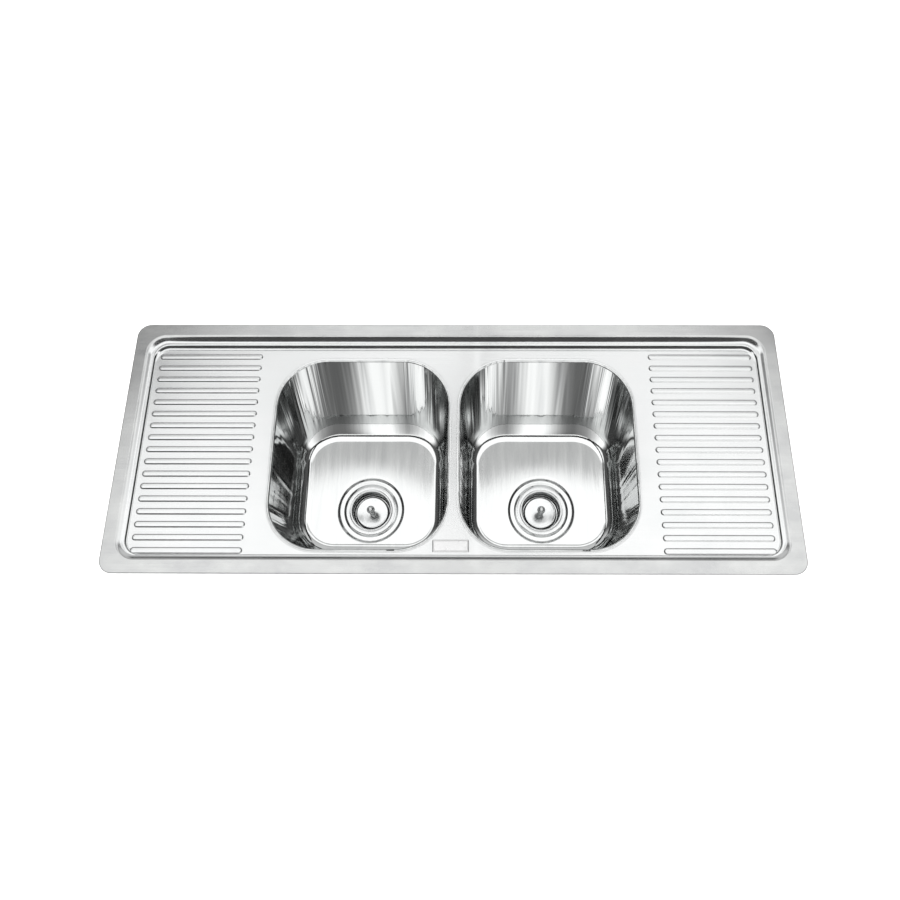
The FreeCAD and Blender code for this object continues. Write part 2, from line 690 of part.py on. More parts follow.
def basket_cover(x):
    """Dished disc over the basket."""
    edge_z = FLANGE_Z - COVER_DROP
    return revolved([
        (POST_R + ROD_GAP, edge_z - COVER_DISH),
        (COLLAR_R + 1.0, edge_z - COVER_DISH),
        (COVER_R * 0.6, edge_z - COVER_DISH * 0.6),
        (COVER_R - 1.0, edge_z),
        (COVER_R, edge_z - 0.4),
        (COVER_R - 0.4, edge_z - COVER_T),
        (COVER_R * 0.6, edge_z - COVER_DISH * 0.6 - COVER_T),
        (COLLAR_R + 1.0, edge_z - COVER_DISH - COVER_T),
        (POST_R + ROD_GAP, edge_z - COVER_DISH - COVER_T),
    ], x, DRAIN_Y)


def basket_post(x):
    """Round rod with the ball knob, a collar above the cover and a head below the stopper."""
    knob = Part.makeSphere(KNOB_R, vec(x, DRAIN_Y, KNOB_Z))
    collar_z = FLANGE_Z - COVER_DROP - COVER_DISH
    neck = revolved([
        (0, KNOB_Z),
        (4.0, KNOB_Z - 6.0),
        (3.4, KNOB_Z - 12.0),
        (4.2, collar_z + 2.5),
        (COLLAR_R, collar_z),
        (0, collar_z),
    ], x, DRAIN_Y)
    rod = cylinder(POST_R, POST_LOW_Z, KNOB_Z, x, DRAIN_Y)
    return knob.fuse(neck).fuse(rod)


def basket_stopper(x):
    """Rubber disc under the basket, seated in the cup's cone."""
    top = BASKET_LOW_Z
    return revolved([
        (POST_R + 0.05, top),
        (STOPPER_R - 2.0, top),
        (STOPPER_R, top - 1.2),
        (STOPPER_R - 4.5, top - STOPPER_T),
        (POST_R + 0.05, top - STOPPER_T),
    ], x, DRAIN_Y)


# ---- small fixed parts ----
def rim_seal():
    low = rim_outline(SEAL_INSET, 0)
    inner = rim_outline(SEAL_INSET + SEAL_WIDTH, 0)
    height = RIM_TOP_Z - SHEET
    return prism(low, height).cut(prism(inner, height))


def badge_plate():
    """Blank plate at the front, between the bowls, with a raised frame round it."""
    inner_length = BADGE_LENGTH - 2 * BADGE_FRAME
    inner_depth = BADGE_DEPTH - 2 * BADGE_FRAME
    plate = prism(centred_rect(BADGE_X, BADGE_Y, BADGE_LENGTH, BADGE_DEPTH, 1.5, DECK_Z), BADGE_T)
    sunk = centred_rect(BADGE_X, BADGE_Y, inner_length, inner_depth, 1.0, DECK_Z + BADGE_T / 2)
    return plate.cut(prism(sunk, BADGE_T / 2))


def sound_pad(x):
    """Damping pad stuck under a bowl's floor."""
    low = FLOOR_Z - SHEET - PAD_T
    return prism(centred_rect(x, PAD_Y, PAD_LENGTH, PAD_DEPTH, 8.0, low), PAD_T)


def stiffener(side):
    """Hat-section channel under a drainer, running front to back."""
    x = side * (RIB_INNER_X + RIB_OUTER_X) / 2
    top = DECK_Z - SHEET
    low = top - STIFFENER_HEIGHT
    web = STIFFENER_HALF - STIFFENER_T
    channel = stiffener_bar(x - STIFFENER_HALF, x + STIFFENER_HALF, low, top)
    channel = channel.cut(stiffener_bar(x - web, x + web, low + STIFFENER_T, top))
    for start in (x - STIFFENER_HALF - STIFFENER_FLANGE, x + web):
        flange = stiffener_bar(start, start + STIFFENER_FLANGE + STIFFENER_T, top - STIFFENER_T, top)
        channel = channel.fuse(flange)
    return channel


def stiffener_bar(x0, x1, z0, z1):
    return box(x0, x1, STIFFENER_FRONT_Y, STIFFENER_BACK_Y, z0, z1)


def earth_hole_z():
    return DECK_Z - SHEET - EARTH_DROP * 2 / 3


def earth_tag():
    """Angle welded under the deck, with a hole for the earth screw."""
    top = DECK_Z - SHEET
    front = EARTH_Y - EARTH_WIDTH / 2
    back = EARTH_Y + EARTH_WIDTH / 2
    foot = box(EARTH_X, EARTH_X + EARTH_FOOT, front, back, top - EARTH_T, top)
    blade = box(EARTH_X, EARTH_X + EARTH_T, front, back, top - EARTH_DROP, top)
    hole = along_x(EARTH_SCREW_R + 0.15, EARTH_X - 1, EARTH_X + 3, EARTH_Y, earth_hole_z())
    return foot.fuse(blade).cut(hole)


def earth_screw():
    z = earth_hole_z()
    shank = along_x(EARTH_SCREW_R, EARTH_X, EARTH_X + EARTH_SCREW_LENGTH, EARTH_Y, z)
    head = along_x(EARTH_HEAD_R, EARTH_X - EARTH_HEAD_T, EARTH_X, EARTH_Y, z)
    slot_x = EARTH_X - EARTH_HEAD_T + 1.2
    slot = box(slot_x - 2, slot_x, EARTH_Y - 5, EARTH_Y + 5, z - 0.6, z + 0.6)
    return shank.fuse(head).cut(slot)


def earth_nut():
    nut = hexagon_nut(8.0, EARTH_SCREW_R + 0.05, EARTH_NUT_T)
    nut.rotate(vec(0, 0, 0), vec(0, 1, 0), 90)
    nut.translate(vec(EARTH_X + EARTH_T, EARTH_Y, earth_hole_z()))
    return nut


# ---- fixing clips ----
def clip_places():
    """Name, turn about Z and distances for each clip around the rim."""
    places = []
    for name, x in (("left", -CLIP_FRONT_X), ("middle", 0.0), ("right", CLIP_FRONT_X)):
        places.append(("front_" + name, -90, RIM_WIDTH / 2, x))
        places.append(("back_" + name, 90, RIM_WIDTH / 2, -x))
    places.append(("left_end", 180, RIM_LENGTH / 2, 0.0))
    places.append(("right_end", 0, RIM_LENGTH / 2, 0.0))
    return places


def at_clip(shape, place):
    """Move a clip shape, built with its screw on the Z axis and +X outwards, to its place."""
    _, angle, reach, along = place
    copy = shape.copy()
    copy.translate(vec(reach - CLIP_SCREW_INSET, along, 0))
    copy.rotate(vec(0, 0, 0), vec(0, 0, 1), angle)
    return copy


def clip_bracket():
    """Plate welded under the rim, with the threaded tab that the screw climbs in."""
    top = RIM_TOP_Z - SHEET
    half = CLIP_HALF_WIDTH
    back = BRACKET_BACK
    bracket = box(back, BRACKET_FRONT, -half, half, top - CLIP_PLATE, top)
    bracket = bracket.fuse(box(back, back + CLIP_PLATE, -half, half, CLIP_LOW_Z, top))
    bracket = bracket.fuse(box(back, BRACKET_FRONT, -half, half, TAB_LOW_Z, TAB_LOW_Z + TAB_T))
    return bracket.cut(cylinder(SCREW_R + SCREW_GAP, TAB_LOW_Z - 1, TAB_LOW_Z + TAB_T + 1))


def clip_screw():
    """Screw standing in the jaw, its cross-slotted head below."""
    head_top = JAW_LOW_Z - HEAD_GAP
    head_low = head_top - HEAD_T
    shank = cylinder(SCREW_R, head_top - 1, SCREW_TOP_Z)
    screw = shank.fuse(cylinder(HEAD_R, head_low, head_top))
    reach, half, depth = HEAD_SLOT
    screw = screw.cut(box(-reach, reach, -half, half, head_low - 1, head_low + depth))
    return screw.cut(box(-half, half, -reach, reach, head_low - 1, head_low + depth))


def jaw_notches():
    """Saw-tooth gaps across the jaw's biting edge."""
    tools = []
    x = JAW_REACH - JAW_LEG_T - 1.5
    half = 0.4 * TOOTH_PITCH
    for step in (-1.5, -0.5, 0.5, 1.5):
        y = step * TOOTH_PITCH
        corners = [vec(x, y - half, 0), vec(x, y, -TOOTH_DEPTH), vec(x, y + half, 0), vec(x, y - half, 0)]
        tool = Part.Face(Part.makePolygon(corners)).extrude(vec(JAW_LEG_T + 2.5, 0, 0))
        tool.translate(vec(0, 0, JAW_TIP_Z))
        tools.append(tool)
    return Part.makeCompound(tools)


def jaw_cheek(y):
    """Triangular stiffening web between the jaw's arm and its leg."""
    low = JAW_LOW_Z + JAW_ARM_T - 1
    x = JAW_REACH - JAW_LEG_T + 0.5
    foot = x - JAW_CHEEK_LENGTH
    corners = [vec(foot, y, low), vec(x, y, low), vec(x, y, low + JAW_CHEEK_HEIGHT), vec(foot, y, low)]
    return Part.Face(Part.makePolygon(corners)).extrude(vec(0, JAW_CHEEK_T, 0))


def clip_jaw():
    """Angle that rides on the screw head; its toothed edge bites the worktop's underside."""
    half = JAW_HALF_WIDTH
    arm = box(JAW_BACK, JAW_REACH, -half, half, JAW_LOW_Z, JAW_LOW_Z + JAW_ARM_T)
    leg = box(JAW_REACH - JAW_LEG_T, JAW_REACH, -half, half, JAW_LOW_Z, JAW_TIP_Z)
    jaw = arm.fuse(leg)
    for y in (-half, half - JAW_CHEEK_T):
        jaw = jaw.fuse(jaw_cheek(y))
    jaw = jaw.cut(jaw_notches())
    return jaw.cut(cylinder(JAW_HOLE_R, JAW_LOW_Z - 1, JAW_LOW_Z + JAW_ARM_T + 1))


def save_clips():
    brackets = []
    for place in clip_places():
        brackets.append(at_clip(clip_bracket(), place))
        save(place[0] + "_clip_screw", at_clip(clip_screw(), place))
        save(place[0] + "_clip_jaw", at_clip(clip_jaw(), place))
    save("clip_brackets", Part.makeCompound(brackets))


def save_drain(side, name):
    x = side * BOWL_X
    save(name + "_bowl", bowl(side))
    save(name + "_sound_pad", sound_pad(x))
    save(name + "_stiffener", stiffener(side))
    save(name + "_drain_seal", drain_seal(x))
    save(name + "_strainer_body", strainer_body(x))
    save(name + "_under_washer", under_washer(x))
    save(name + "_friction_ring", friction_ring(x))
    save(name + "_lock_nut", lock_nut(x))
    save(name + "_tailpiece", tailpiece(side))
    save(name + "_tailpiece_washer", tailpiece_washer(x))
    save(name + "_coupling_nut", coupling_nut(x))
    save(name + "_basket", basket(x))
    save(name + "_basket_cover", basket_cover(x))
    save(name + "_basket_post", basket_post(x))
    save(name + "_basket_stopper", basket_stopper(x))


def save_overflow():
    save("overflow_gasket", overflow_gasket())
    save("overflow_housing", overflow_housing())
    save("overflow_studs", overflow_studs())
    save("overflow_nuts", overflow_nuts())
    save("overflow_hose", overflow_hose())
    save("hose_clamps", hose_clamps())


def main():
    os.makedirs("parts", exist_ok=True)
    save("sink_deck", sink_deck())
    save_drain(-1, "left")
    save_drain(1, "right")
    save_overflow()
    save_clips()
    save("rim_seal", rim_seal())
    save("badge_plate", badge_plate())
    save("earth_tag", earth_tag())
    save("earth_screw", earth_screw())
    save("earth_nut", earth_nut())


main()
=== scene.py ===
import math

import bmesh
import bpy
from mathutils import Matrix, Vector
from mathutils.geometry import delaunay_2d_cdt


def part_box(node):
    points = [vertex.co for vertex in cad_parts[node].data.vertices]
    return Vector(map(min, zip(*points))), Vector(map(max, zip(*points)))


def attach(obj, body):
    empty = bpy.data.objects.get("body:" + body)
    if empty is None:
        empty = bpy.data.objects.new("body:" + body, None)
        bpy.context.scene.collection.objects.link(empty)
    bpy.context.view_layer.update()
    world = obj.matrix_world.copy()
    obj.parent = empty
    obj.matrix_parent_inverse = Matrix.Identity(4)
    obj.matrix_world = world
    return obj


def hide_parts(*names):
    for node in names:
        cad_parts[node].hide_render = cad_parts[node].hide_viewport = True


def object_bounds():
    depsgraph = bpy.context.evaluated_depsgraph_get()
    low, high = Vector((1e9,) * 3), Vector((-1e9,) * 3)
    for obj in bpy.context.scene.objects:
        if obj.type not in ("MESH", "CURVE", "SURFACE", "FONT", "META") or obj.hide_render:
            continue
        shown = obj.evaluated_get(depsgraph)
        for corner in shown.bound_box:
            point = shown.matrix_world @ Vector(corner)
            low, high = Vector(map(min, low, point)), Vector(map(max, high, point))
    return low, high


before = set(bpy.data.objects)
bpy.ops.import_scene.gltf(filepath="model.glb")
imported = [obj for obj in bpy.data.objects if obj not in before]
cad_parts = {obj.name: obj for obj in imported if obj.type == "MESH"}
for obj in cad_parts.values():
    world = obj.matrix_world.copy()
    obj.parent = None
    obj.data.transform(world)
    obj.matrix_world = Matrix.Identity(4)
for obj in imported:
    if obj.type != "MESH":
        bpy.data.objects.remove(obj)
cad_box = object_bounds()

# Metres, in the row's frame: origin on the worktop surface at the centre of the rim.

# ---- places read from the frame ----
RIM_HALF_X, RIM_HALF_Y, RIM_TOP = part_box("sink_deck")[1]
LEFT_CUP_LOW, LEFT_CUP_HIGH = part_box("left_strainer_body")
DRAIN_X = -(LEFT_CUP_LOW[0] + LEFT_CUP_HIGH[0]) / 2
DRAIN_Y = (LEFT_CUP_LOW[1] + LEFT_CUP_HIGH[1]) / 2
FLANGE_Z = LEFT_CUP_HIGH[2]
SPIGOT_LOW = LEFT_CUP_LOW[2]

# ---- pressed sheet ----
SHEET = 0.0009
RIM_CORNER = 0.026
RIM_EDGE_R = 0.0013
RIM_FLAT = 0.004
RIM_FLAT_CORNER = RIM_CORNER - 0.003
SKIRT_LOW = 0.0008
DECK_Z = -0.004
LEDGE_Z = -0.0008
CREASE_Z = -0.0036
# Half length, front edge, back edge and corner radius of each line of the pressed step.
STEP_TOP = (0.6175, -0.2255, 0.2265, 0.038)
STEP_FOOT = (0.6030, -0.2165, 0.2105, 0.028)
LEDGE_EDGE = (0.6018, -0.2160, 0.2075, 0.030)
LEDGE_FOOT = (0.5990, -0.2146, 0.1985, 0.028)
CREASE_EDGE = (0.5984, -0.2143, 0.1965, 0.028)
CREASE_FOOT = (0.5976, -0.2139, 0.1950, 0.028)
# Steps round each corner and along each side of an outline.
RIM_STEPS = (14, 24)
RIB_STEPS = (12, 6)
BOWL_STEPS = (24, 10)
BADGE_STEPS = (5, 6)

# ---- drainer ribs ----
RIB_COUNT = 17
RIB_PITCH = 0.0243
RIB_BACK_Y = 0.1815
RIB_INNER_X = 0.384
RIB_OUTER_X = 0.590
RIB_HALF = 0.0065
RIB_HEIGHT = 0.0018
RIB_SIDE = 0.0028
# Inset and crown of each line on a rib's top.
RIB_TOP = ((0.0042, 0.00006), (0.0056, 0.0001), (0.0062, 0.00011))

# ---- bowls ----
BOWL_Y = -0.016
BOWL_HALF_X = 0.1665
BOWL_HALF_Y = 0.1875
BOWL_CORNER = 0.094
BOWL_FLOOR_CORNER = 0.080
BOWL_INSET = 0.0155
BOWL_BACK_INSET = 0.084
BOWL_DEPTH = 0.177
BOWL_FLOOR_Z = DECK_Z - BOWL_DEPTH
LIP = 0.004
LIP_RING = LIP + 0.004
LIP_R = 0.0026
FLOOR_R_SIDE = 0.024
FLOOR_R_BACK = 0.040
FLOOR_R_FRONT = 0.030
FLOOR_SLOPE = 0.006
LIP_STEPS = 8
WALL_STEPS = 14
FILLET_STEPS = 18
FLOOR_STEPS = 14
RECESS_STEPS = 10
SLOPE_REACH = 0.001
CONTACT_ROUNDS = 12
RECESS_SHOULDER = 0.0008
RECESS_R = 0.0700
RECESS_FOOT_R = 0.0648
RECESS_DEPTH = 0.0035
WASTE_HOLE_R = 0.045
LEFT = -1
RIGHT = 1
SIDES = ((LEFT, "left"), (RIGHT, "right"))

# ---- overflow holes in the left bowl ----
OVERFLOW_Y = -0.098
OVERFLOW_Z = DECK_Z - 0.027
OVERFLOW_HOLE_R = 0.0025
OVERFLOW_PITCH = 0.0088
PUNCH_OUTSIDE = 0.007
PUNCH_INSIDE = 0.015

# ---- waste fitting ----
FLANGE_R = (LEFT_CUP_HIGH[0] - LEFT_CUP_LOW[0]) / 2
FLANGE_T = 0.001
MOUTH_R = 0.039
CUP_WALL = 0.0012
THREAD_R = 0.043
THREAD_TOP_Z = FLANGE_Z - 0.0045
THREAD_LOW_Z = FLANGE_Z - 0.0235
THREAD_DEPTH = 0.0008
THREAD_PITCH = 0.003
THREAD_RUN = 0.0005
SPIGOT_R = 0.0238
SPIGOT_BORE_R = 0.021
CUP_SEAT_Z = FLANGE_Z - 0.042
CUP_FLOOR_Z = FLANGE_Z - 0.054
SPIDER_LOW_Z = CUP_FLOOR_Z - 0.008
SPIDER_TOP_Z = CUP_FLOOR_Z - 0.004
SPIDER_BORE_R = 0.004
SPIDER_HUB_R = 0.007
SPIDER_ARM = (0.0012, 0.0019)
COVER_R = 0.033
COVER_Z = FLANGE_Z - 0.021
COVER_DISH = 0.002
COVER_T = 0.0008
BASKET_TOP_Z = FLANGE_Z - 0.027
BASKET_LOW_Z = FLANGE_Z - 0.0455
KNOB_R = 0.0085
KNOB_Z = FLANGE_Z + 0.005
POST_R = 0.003
POST_BORE_R = POST_R + 0.0001
POST_LOW_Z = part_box("left_basket_post")[0][2]
COLLAR_R = 0.006
BASKET_TOP_R = 0.0376
BASKET_WALL_R = 0.0345
BASKET_FOOT_R = 0.0275
BASKET_WALL = 0.0008
BASKET_HOLE_R = 0.0014
BASKET_FOOT_RINGS = ((0.0100, 8), (0.0160, 14), (0.0220, 20))
BASKET_WALL_ROWS = 3
BASKET_WALL_HOLES = 26
STOPPER_R = 0.030
STOPPER_T = 0.004

# ---- overflow hose ----
HOSE_X = -0.359
HOSE_TOP_Z = OVERFLOW_Z - 0.012
HOSE_LOW_Z = SPIGOT_LOW - 0.045
HOSE_R = 0.0095
HOSE_BORE_R = 0.0078
HOSE_BEND_R = 0.090
HOSE_END = 0.026
HOSE_CUFF = 0.018
HOSE_PITCH = 0.0034
HOSE_FOLD_STEPS = 8
HOSE_FOLD_DEPTH = 0.0014
HOSE_SIDES = 28
HOSE_BORE_STEPS = 48

# ---- clip screws and badge ----
SCREW_R = 0.00245
SCREW_PITCH = 0.0008
SCREW_RUN = 0.00013
SCREW_THREAD_DEPTH = 0.00042
SCREW_PLAIN = 0.0006
SLOT_HALF = 0.0006
SLOT_REACH = 0.0032
SLOT_DEPTH = 0.0016
SCREW_TOP_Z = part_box("left_end_clip_screw")[1][2]
HEAD_R = 0.0045
HEAD_T = 0.0036
HEAD_TOP_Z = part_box("left_end_clip_screw")[0][2] + HEAD_T
BADGE_CORNER = 0.0015
BADGE_SUNK = 0.00045

# ---- materials: name, darkest and lightest colour, roughness, then the kind's own numbers ----
MIDDLE = (0.3, 0.7)
METAL_GRAIN = 900
TURNED_STEELS = (
    ("waste_steel", (0.60, 0.61, 0.61), (0.68, 0.69, 0.69), 0.10),
    ("knob_chrome", (0.64, 0.65, 0.65), (0.72, 0.73, 0.73), 0.05),
)
PLAIN_METALS = (
    ("zinc_steel", (0.46, 0.47, 0.48), (0.60, 0.61, 0.60), 0.26, None),
    ("galvanised_steel", (0.40, 0.42, 0.44), (0.60, 0.62, 0.64), 0.34, 220),
    ("badge_metal", (0.62, 0.62, 0.62), (0.70, 0.70, 0.70), 0.16, None),
)
MOULDED = (
    ("black_rubber", (0.010, 0.010, 0.010), (0.030, 0.030, 0.031), 0.50, 1500, 0.00005),
    ("seal_foam", (0.020, 0.020, 0.022), (0.060, 0.060, 0.065), 0.80, 2500, 0.0002),
    ("pad_rubber", (0.022, 0.022, 0.024), (0.055, 0.055, 0.060), 0.70, 420, 0.0006),
    ("white_plastic", (0.70, 0.70, 0.67), (0.80, 0.80, 0.78), 0.30, 1200, 0.00003),
    ("grey_plastic", (0.26, 0.27, 0.28), (0.36, 0.37, 0.38), 0.36, 1200, 0.00003),
    ("hose_plastic", (0.46, 0.47, 0.48), (0.58, 0.59, 0.60), 0.34, 1100, 0.00003),
    ("fibre", (0.34, 0.22, 0.11), (0.48, 0.34, 0.19), 0.75, 900, 0.0001),
)

# ---- small pieces that keep the CAD shape: node, material and width of the rounded edges ----
SINK_PIECES = (
    ("rim_seal", "seal_foam", 0.0006),
    ("clip_brackets", "zinc_steel", 0.0004),
    ("earth_tag", "deck_steel", 0.0003),
    ("earth_screw", "zinc_steel", 0.0002),
    ("earth_nut", "zinc_steel", 0.0002),
    ("overflow_gasket", "black_rubber", 0.0003),
    ("overflow_housing", "grey_plastic", 0.0004),
    ("overflow_studs", "deck_steel", 0.0003),
    ("overflow_nuts", "zinc_steel", 0.0002),
    ("hose_clamps", "zinc_steel", 0.0003),
)
SIDE_PIECES = (
    ("sound_pad", "pad_rubber", 0.0008),
    ("stiffener", "galvanised_steel", 0.0004),
    ("under_washer", "black_rubber", 0.0006),
    ("friction_ring", "fibre", 0.0002),
    ("lock_nut", "grey_plastic", 0.0007),
    ("tailpiece", "white_plastic", 0.0004),
    ("tailpiece_washer", "black_rubber", 0.0003),
    ("coupling_nut", "white_plastic", 0.0006),
)
JAW_WIDTH = 0.0003

# ---- how pieces are finished ----
SHARP = 32
SHARP_SCREW = 50
SHARP_SMALL = 60
MERGE = 1e-7
BEVEL_FROM = 40
NORMAL_WEIGHT = 80

# ---- studio: where each light starts and ends, by direction ----
OVERHEAD_RISE = (0.79, 0.87)
OVERHEAD_LEVEL = 1.5
WINDOW_FRONT = (-0.30, -0.48)
WINDOW_WIDTH = (0.42, 0.15)
WINDOW_LOW = (0.25, 0.50)
WINDOW_LEVEL = 0.7
FILL_SIDE = (0.05, 0.22)
FILL_FRONT = (-0.40, -0.60)
FILL_LOW = (0.05, 0.25)
FILL_HIGH = (0.68, 0.60)
FILL_LEVEL = 1.5
BACK_RISE = (0.40, 0.70)
BACK_LOW = (0.05, 0.40)
BACK_LEVEL = 0.7
LOW_RISE = (-0.6, 0.9)
LOW_LEVEL = 0.10
GROUND_FALL = (-0.02, -0.30)
GROUND_LEVEL = 0.60
DARKEST = 0.01
# Two soft grey flags overhead, one seen in the rear half of each bowl's floor.
FLAG_MIDDLE = -0.0295
FLAG_SPREAD = 0.1195
FLAG_WIDTH = (0.115, 0.085)
FLAG_FRONT = (0.262, 0.284)
FLAG_BACK = (0.40, 0.36)
FLAG_ARCH = 2.8
FLAG_DEPTH = 0.62
PLAIN_LEVEL = 1.1
# Cards and flags that only reflections see.
CAMERA_CARD = (-1.3, 1.3, -0.60, -0.30, 1.36)
CAMERA_CARD_LEVEL = 0.04
STEP_CARD = ((-0.62, 0.19), (0.62, 0.19), 0.01, 0.7)
STEP_CARD_LEVEL = 0.06
CENTRE_FLAG_X = 0.044
CENTRE_FLAGS = (("centre_flag", (-0.35, 0.7), (0.48, 0.8)), ("centre_flag_low", (0.15, 0.7), (0.36, 0.48)))
CENTRE_FLAG_LEVEL = 0.02
BOWL_CARD_HALF = 0.115
BOWL_CARD_Y = -0.012
BOWL_CARD_Z = (-0.179, -0.010)
BOWL_CARD_LEVEL = 1.6
CARD_FADE = 0.75
CARD_DIM = 0.12
FLOOR_HALF = 30.0
FLOOR_TONE = 0.86
LAMP_SIZE = 6.0
LAMP_ENERGY = 260.0
LAMP_HEIGHT = 3.5

# ---- camera, solved from the rim's outline ----
CAMERA_PLACE = (0.0443, -0.4464, 1.3193)
CAMERA_TURN = (19.382, 0.279, 0.178)
CAMERA_LENS = 29.15
CAMERA_SHIFT = (-0.0256, -0.0179)
SENSOR = 36.0


# ---------------------------------------------------------------- outlines and meshes
def lerp(a, b, t):
    return a + (b - a) * t


def outward(angle):
    return Vector((math.cos(angle), math.sin(angle), 0))


def smooth_ramp(t, shoulder):
    """0 to 1 with round shoulders of that share at each end and a straight run between."""
    rise = 1.0 / (1.0 - shoulder)
    if t < shoulder:
        return rise * t * t / (2 * shoulder)
    if t > 1 - shoulder:
        return 1 - rise * (1 - t) * (1 - t) / (2 * shoulder)
    return rise * (t - shoulder / 2)


def rounded_rect(x0, x1, y0, y1, radius, corner_steps, side_steps):
    """Points and outward normals round a rectangle with round corners, counter-clockwise.
    Every such outline with the same step counts has matching points."""
    right, left, front, back = x1 - radius, x0 + radius, y0 + radius, y1 - radius
    centres = [(right, front), (right, back), (left, back), (left, front)]
    points = []
    for index, (cx, cy) in enumerate(centres):
        start = math.radians(-90 + 90 * index)
        for step in range(corner_steps + 1):
            angle = start + math.radians(90) * step / corner_steps
            nx, ny = math.cos(angle), math.sin(angle)
            points.append((cx + radius * nx, cy + radius * ny, nx, ny))
        end_x, end_y, nx, ny = points[-1]
        next_angle = start + math.radians(90)
        next_cx, next_cy = centres[(index + 1) % 4]
        next_x = next_cx + radius * math.cos(next_angle)
        next_y = next_cy + radius * math.sin(next_angle)
        for step in range(1, side_steps):
            t = step / side_steps
            points.append((lerp(end_x, next_x, t), lerp(end_y, next_y, t), nx, ny))
    return points


def stadium(x0, x1, y, half, steps, side_steps):
    """Points round a slot shape with round ends, counter-clockwise from the low right corner."""
    points = []
    for centre, start in ((x1 - half, -90), (x0 + half, 90)):
        for step in range(steps + 1):
            angle = math.radians(start + 180 * step / steps)
            points.append((centre + half * math.cos(angle), y + half * math.sin(angle)))
        other = x0 + half if start < 0 else x1 - half
        side_y = y + half if start < 0 else y - half
        for step in range(1, side_steps):
            points.append((lerp(centre, other, step / side_steps), side_y))
    return points


class Builder:
    """Collects vertices and faces for one mesh."""

    def __init__(self):
        self.verts = []
        self.faces = []
        self.uvs = []

    def loop(self, points, v=0.0):
        """Adds a closed loop of points and returns its first index and count."""
        first = len(self.verts)
        count = len(points)
        self.verts.extend(points)
        self.uvs.extend((index / count, v) for index in range(count))
        return first, count

    def bridge(self, low, high):
        """Quads between two loops of the same count."""
        (a, count), (b, _) = low, high
        for index in range(count):
            nxt = (index + 1) % count
            self.faces.append((a + index, a + nxt, b + nxt, b + index))

    def sweep(self, loops, closed=False):
        """Adds loops one after another and joins each to the last. Returns the handles."""
        handles = [self.loop(points, index / max(1, len(loops) - 1)) for index, points in enumerate(loops)]
        for low, high in zip(handles, handles[1:]):
            self.bridge(low, high)
        if closed:
            self.bridge(handles[-1], handles[0])
        return handles

    def cap(self, handle):
        first, count = handle
        self.faces.append(tuple(range(first, first + count)))


def link(name, data):
    piece = bpy.data.objects.new(name, data)
    bpy.context.scene.collection.objects.link(piece)
    return piece


def object_from(builder, name, material):
    mesh = bpy.data.meshes.new(name)
    mesh.from_pydata([tuple(v) for v in builder.verts], [], builder.faces)
    mesh.validate()
    layer = mesh.uv_layers.new(name="along")
    for corner in mesh.loops:
        layer.data[corner.index].uv = builder.uvs[corner.vertex_index]
    mesh.polygons.foreach_set("use_smooth", [True] * len(mesh.polygons))
    mesh.update()
    mesh.materials.append(material)
    return link(name, mesh)


def thicken(piece, thickness):
    shell = piece.modifiers.new("sheet", "SOLIDIFY")
    shell.thickness = thickness
    shell.offset = -1
    shell.use_even_offset = True
    return piece


def weigh_normals(piece):
    weighted = piece.modifiers.new("normals", "WEIGHTED_NORMAL")
    weighted.keep_sharp = True
    weighted.weight = NORMAL_WEIGHT
    return piece


# ---------------------------------------------------------------- the deck
def step_outline(outline):
    half, front, back, radius = outline
    return rounded_rect(-half, half, front, back, radius, *RIM_STEPS)


def level(points, z):
    return [(p[0], p[1], z) for p in points]


def mixed(outline_a, outline_b, t):
    return tuple(lerp(a, b, t) for a, b in zip(outline_a, outline_b))


def rim_loops():
    """The turned-down edge and the flat rim, from the skirt's lower edge inwards."""
    loops = []

    def rim(inset, z):
        points = rounded_rect(-RIM_HALF_X + inset, RIM_HALF_X - inset, -RIM_HALF_Y + inset,
                              RIM_HALF_Y - inset, RIM_CORNER - inset, *RIM_STEPS)
        loops.append(level(points, z))

    rim(0.0, SKIRT_LOW)
    rim(0.0, lerp(SKIRT_LOW, RIM_TOP - RIM_EDGE_R, 0.6))
    for step in range(7):
        angle = math.radians(90) * step / 6
        rim(RIM_EDGE_R * (1 - math.cos(angle)), RIM_TOP - RIM_EDGE_R * (1 - math.sin(angle)))
    rim(RIM_EDGE_R + 0.0006, RIM_TOP)
    outer = (RIM_HALF_X - RIM_FLAT, -RIM_HALF_Y + RIM_FLAT, RIM_HALF_Y - RIM_FLAT, RIM_FLAT_CORNER)
    for t in (0.0, 0.4, 0.8, 0.97):
        loops.append(level(step_outline(mixed(outer, STEP_TOP, t)), RIM_TOP))
    return loops


def step_loops():
    """The pressed step, the narrow ledge and the second small step down to the deck."""
    loops = []

    def fall(top, foot, top_z, foot_z, steps, shoulder):
        for step in range(steps + 1):
            t = step / steps
            outline = step_outline(mixed(top, foot, t))
            loops.append(level(outline, lerp(top_z, foot_z, smooth_ramp(t, shoulder))))

    fall(STEP_TOP, STEP_FOOT, RIM_TOP, LEDGE_Z, 12, 0.36)
    for t in (0.1, 0.5, 0.9):
        loops.append(level(step_outline(mixed(STEP_FOOT, LEDGE_EDGE, t)), LEDGE_Z))
    fall(LEDGE_EDGE, LEDGE_FOOT, LEDGE_Z, CREASE_Z, 8, 0.3)
    fall(CREASE_EDGE, CREASE_FOOT, CREASE_Z, DECK_Z, 4, 0.45)
    return loops


def rib_rows():
    for side in (LEFT, RIGHT):
        ends = sorted((side * RIB_INNER_X, side * RIB_OUTER_X))
        for row in range(RIB_COUNT):
            yield ends[0], ends[1], RIB_BACK_Y - row * RIB_PITCH


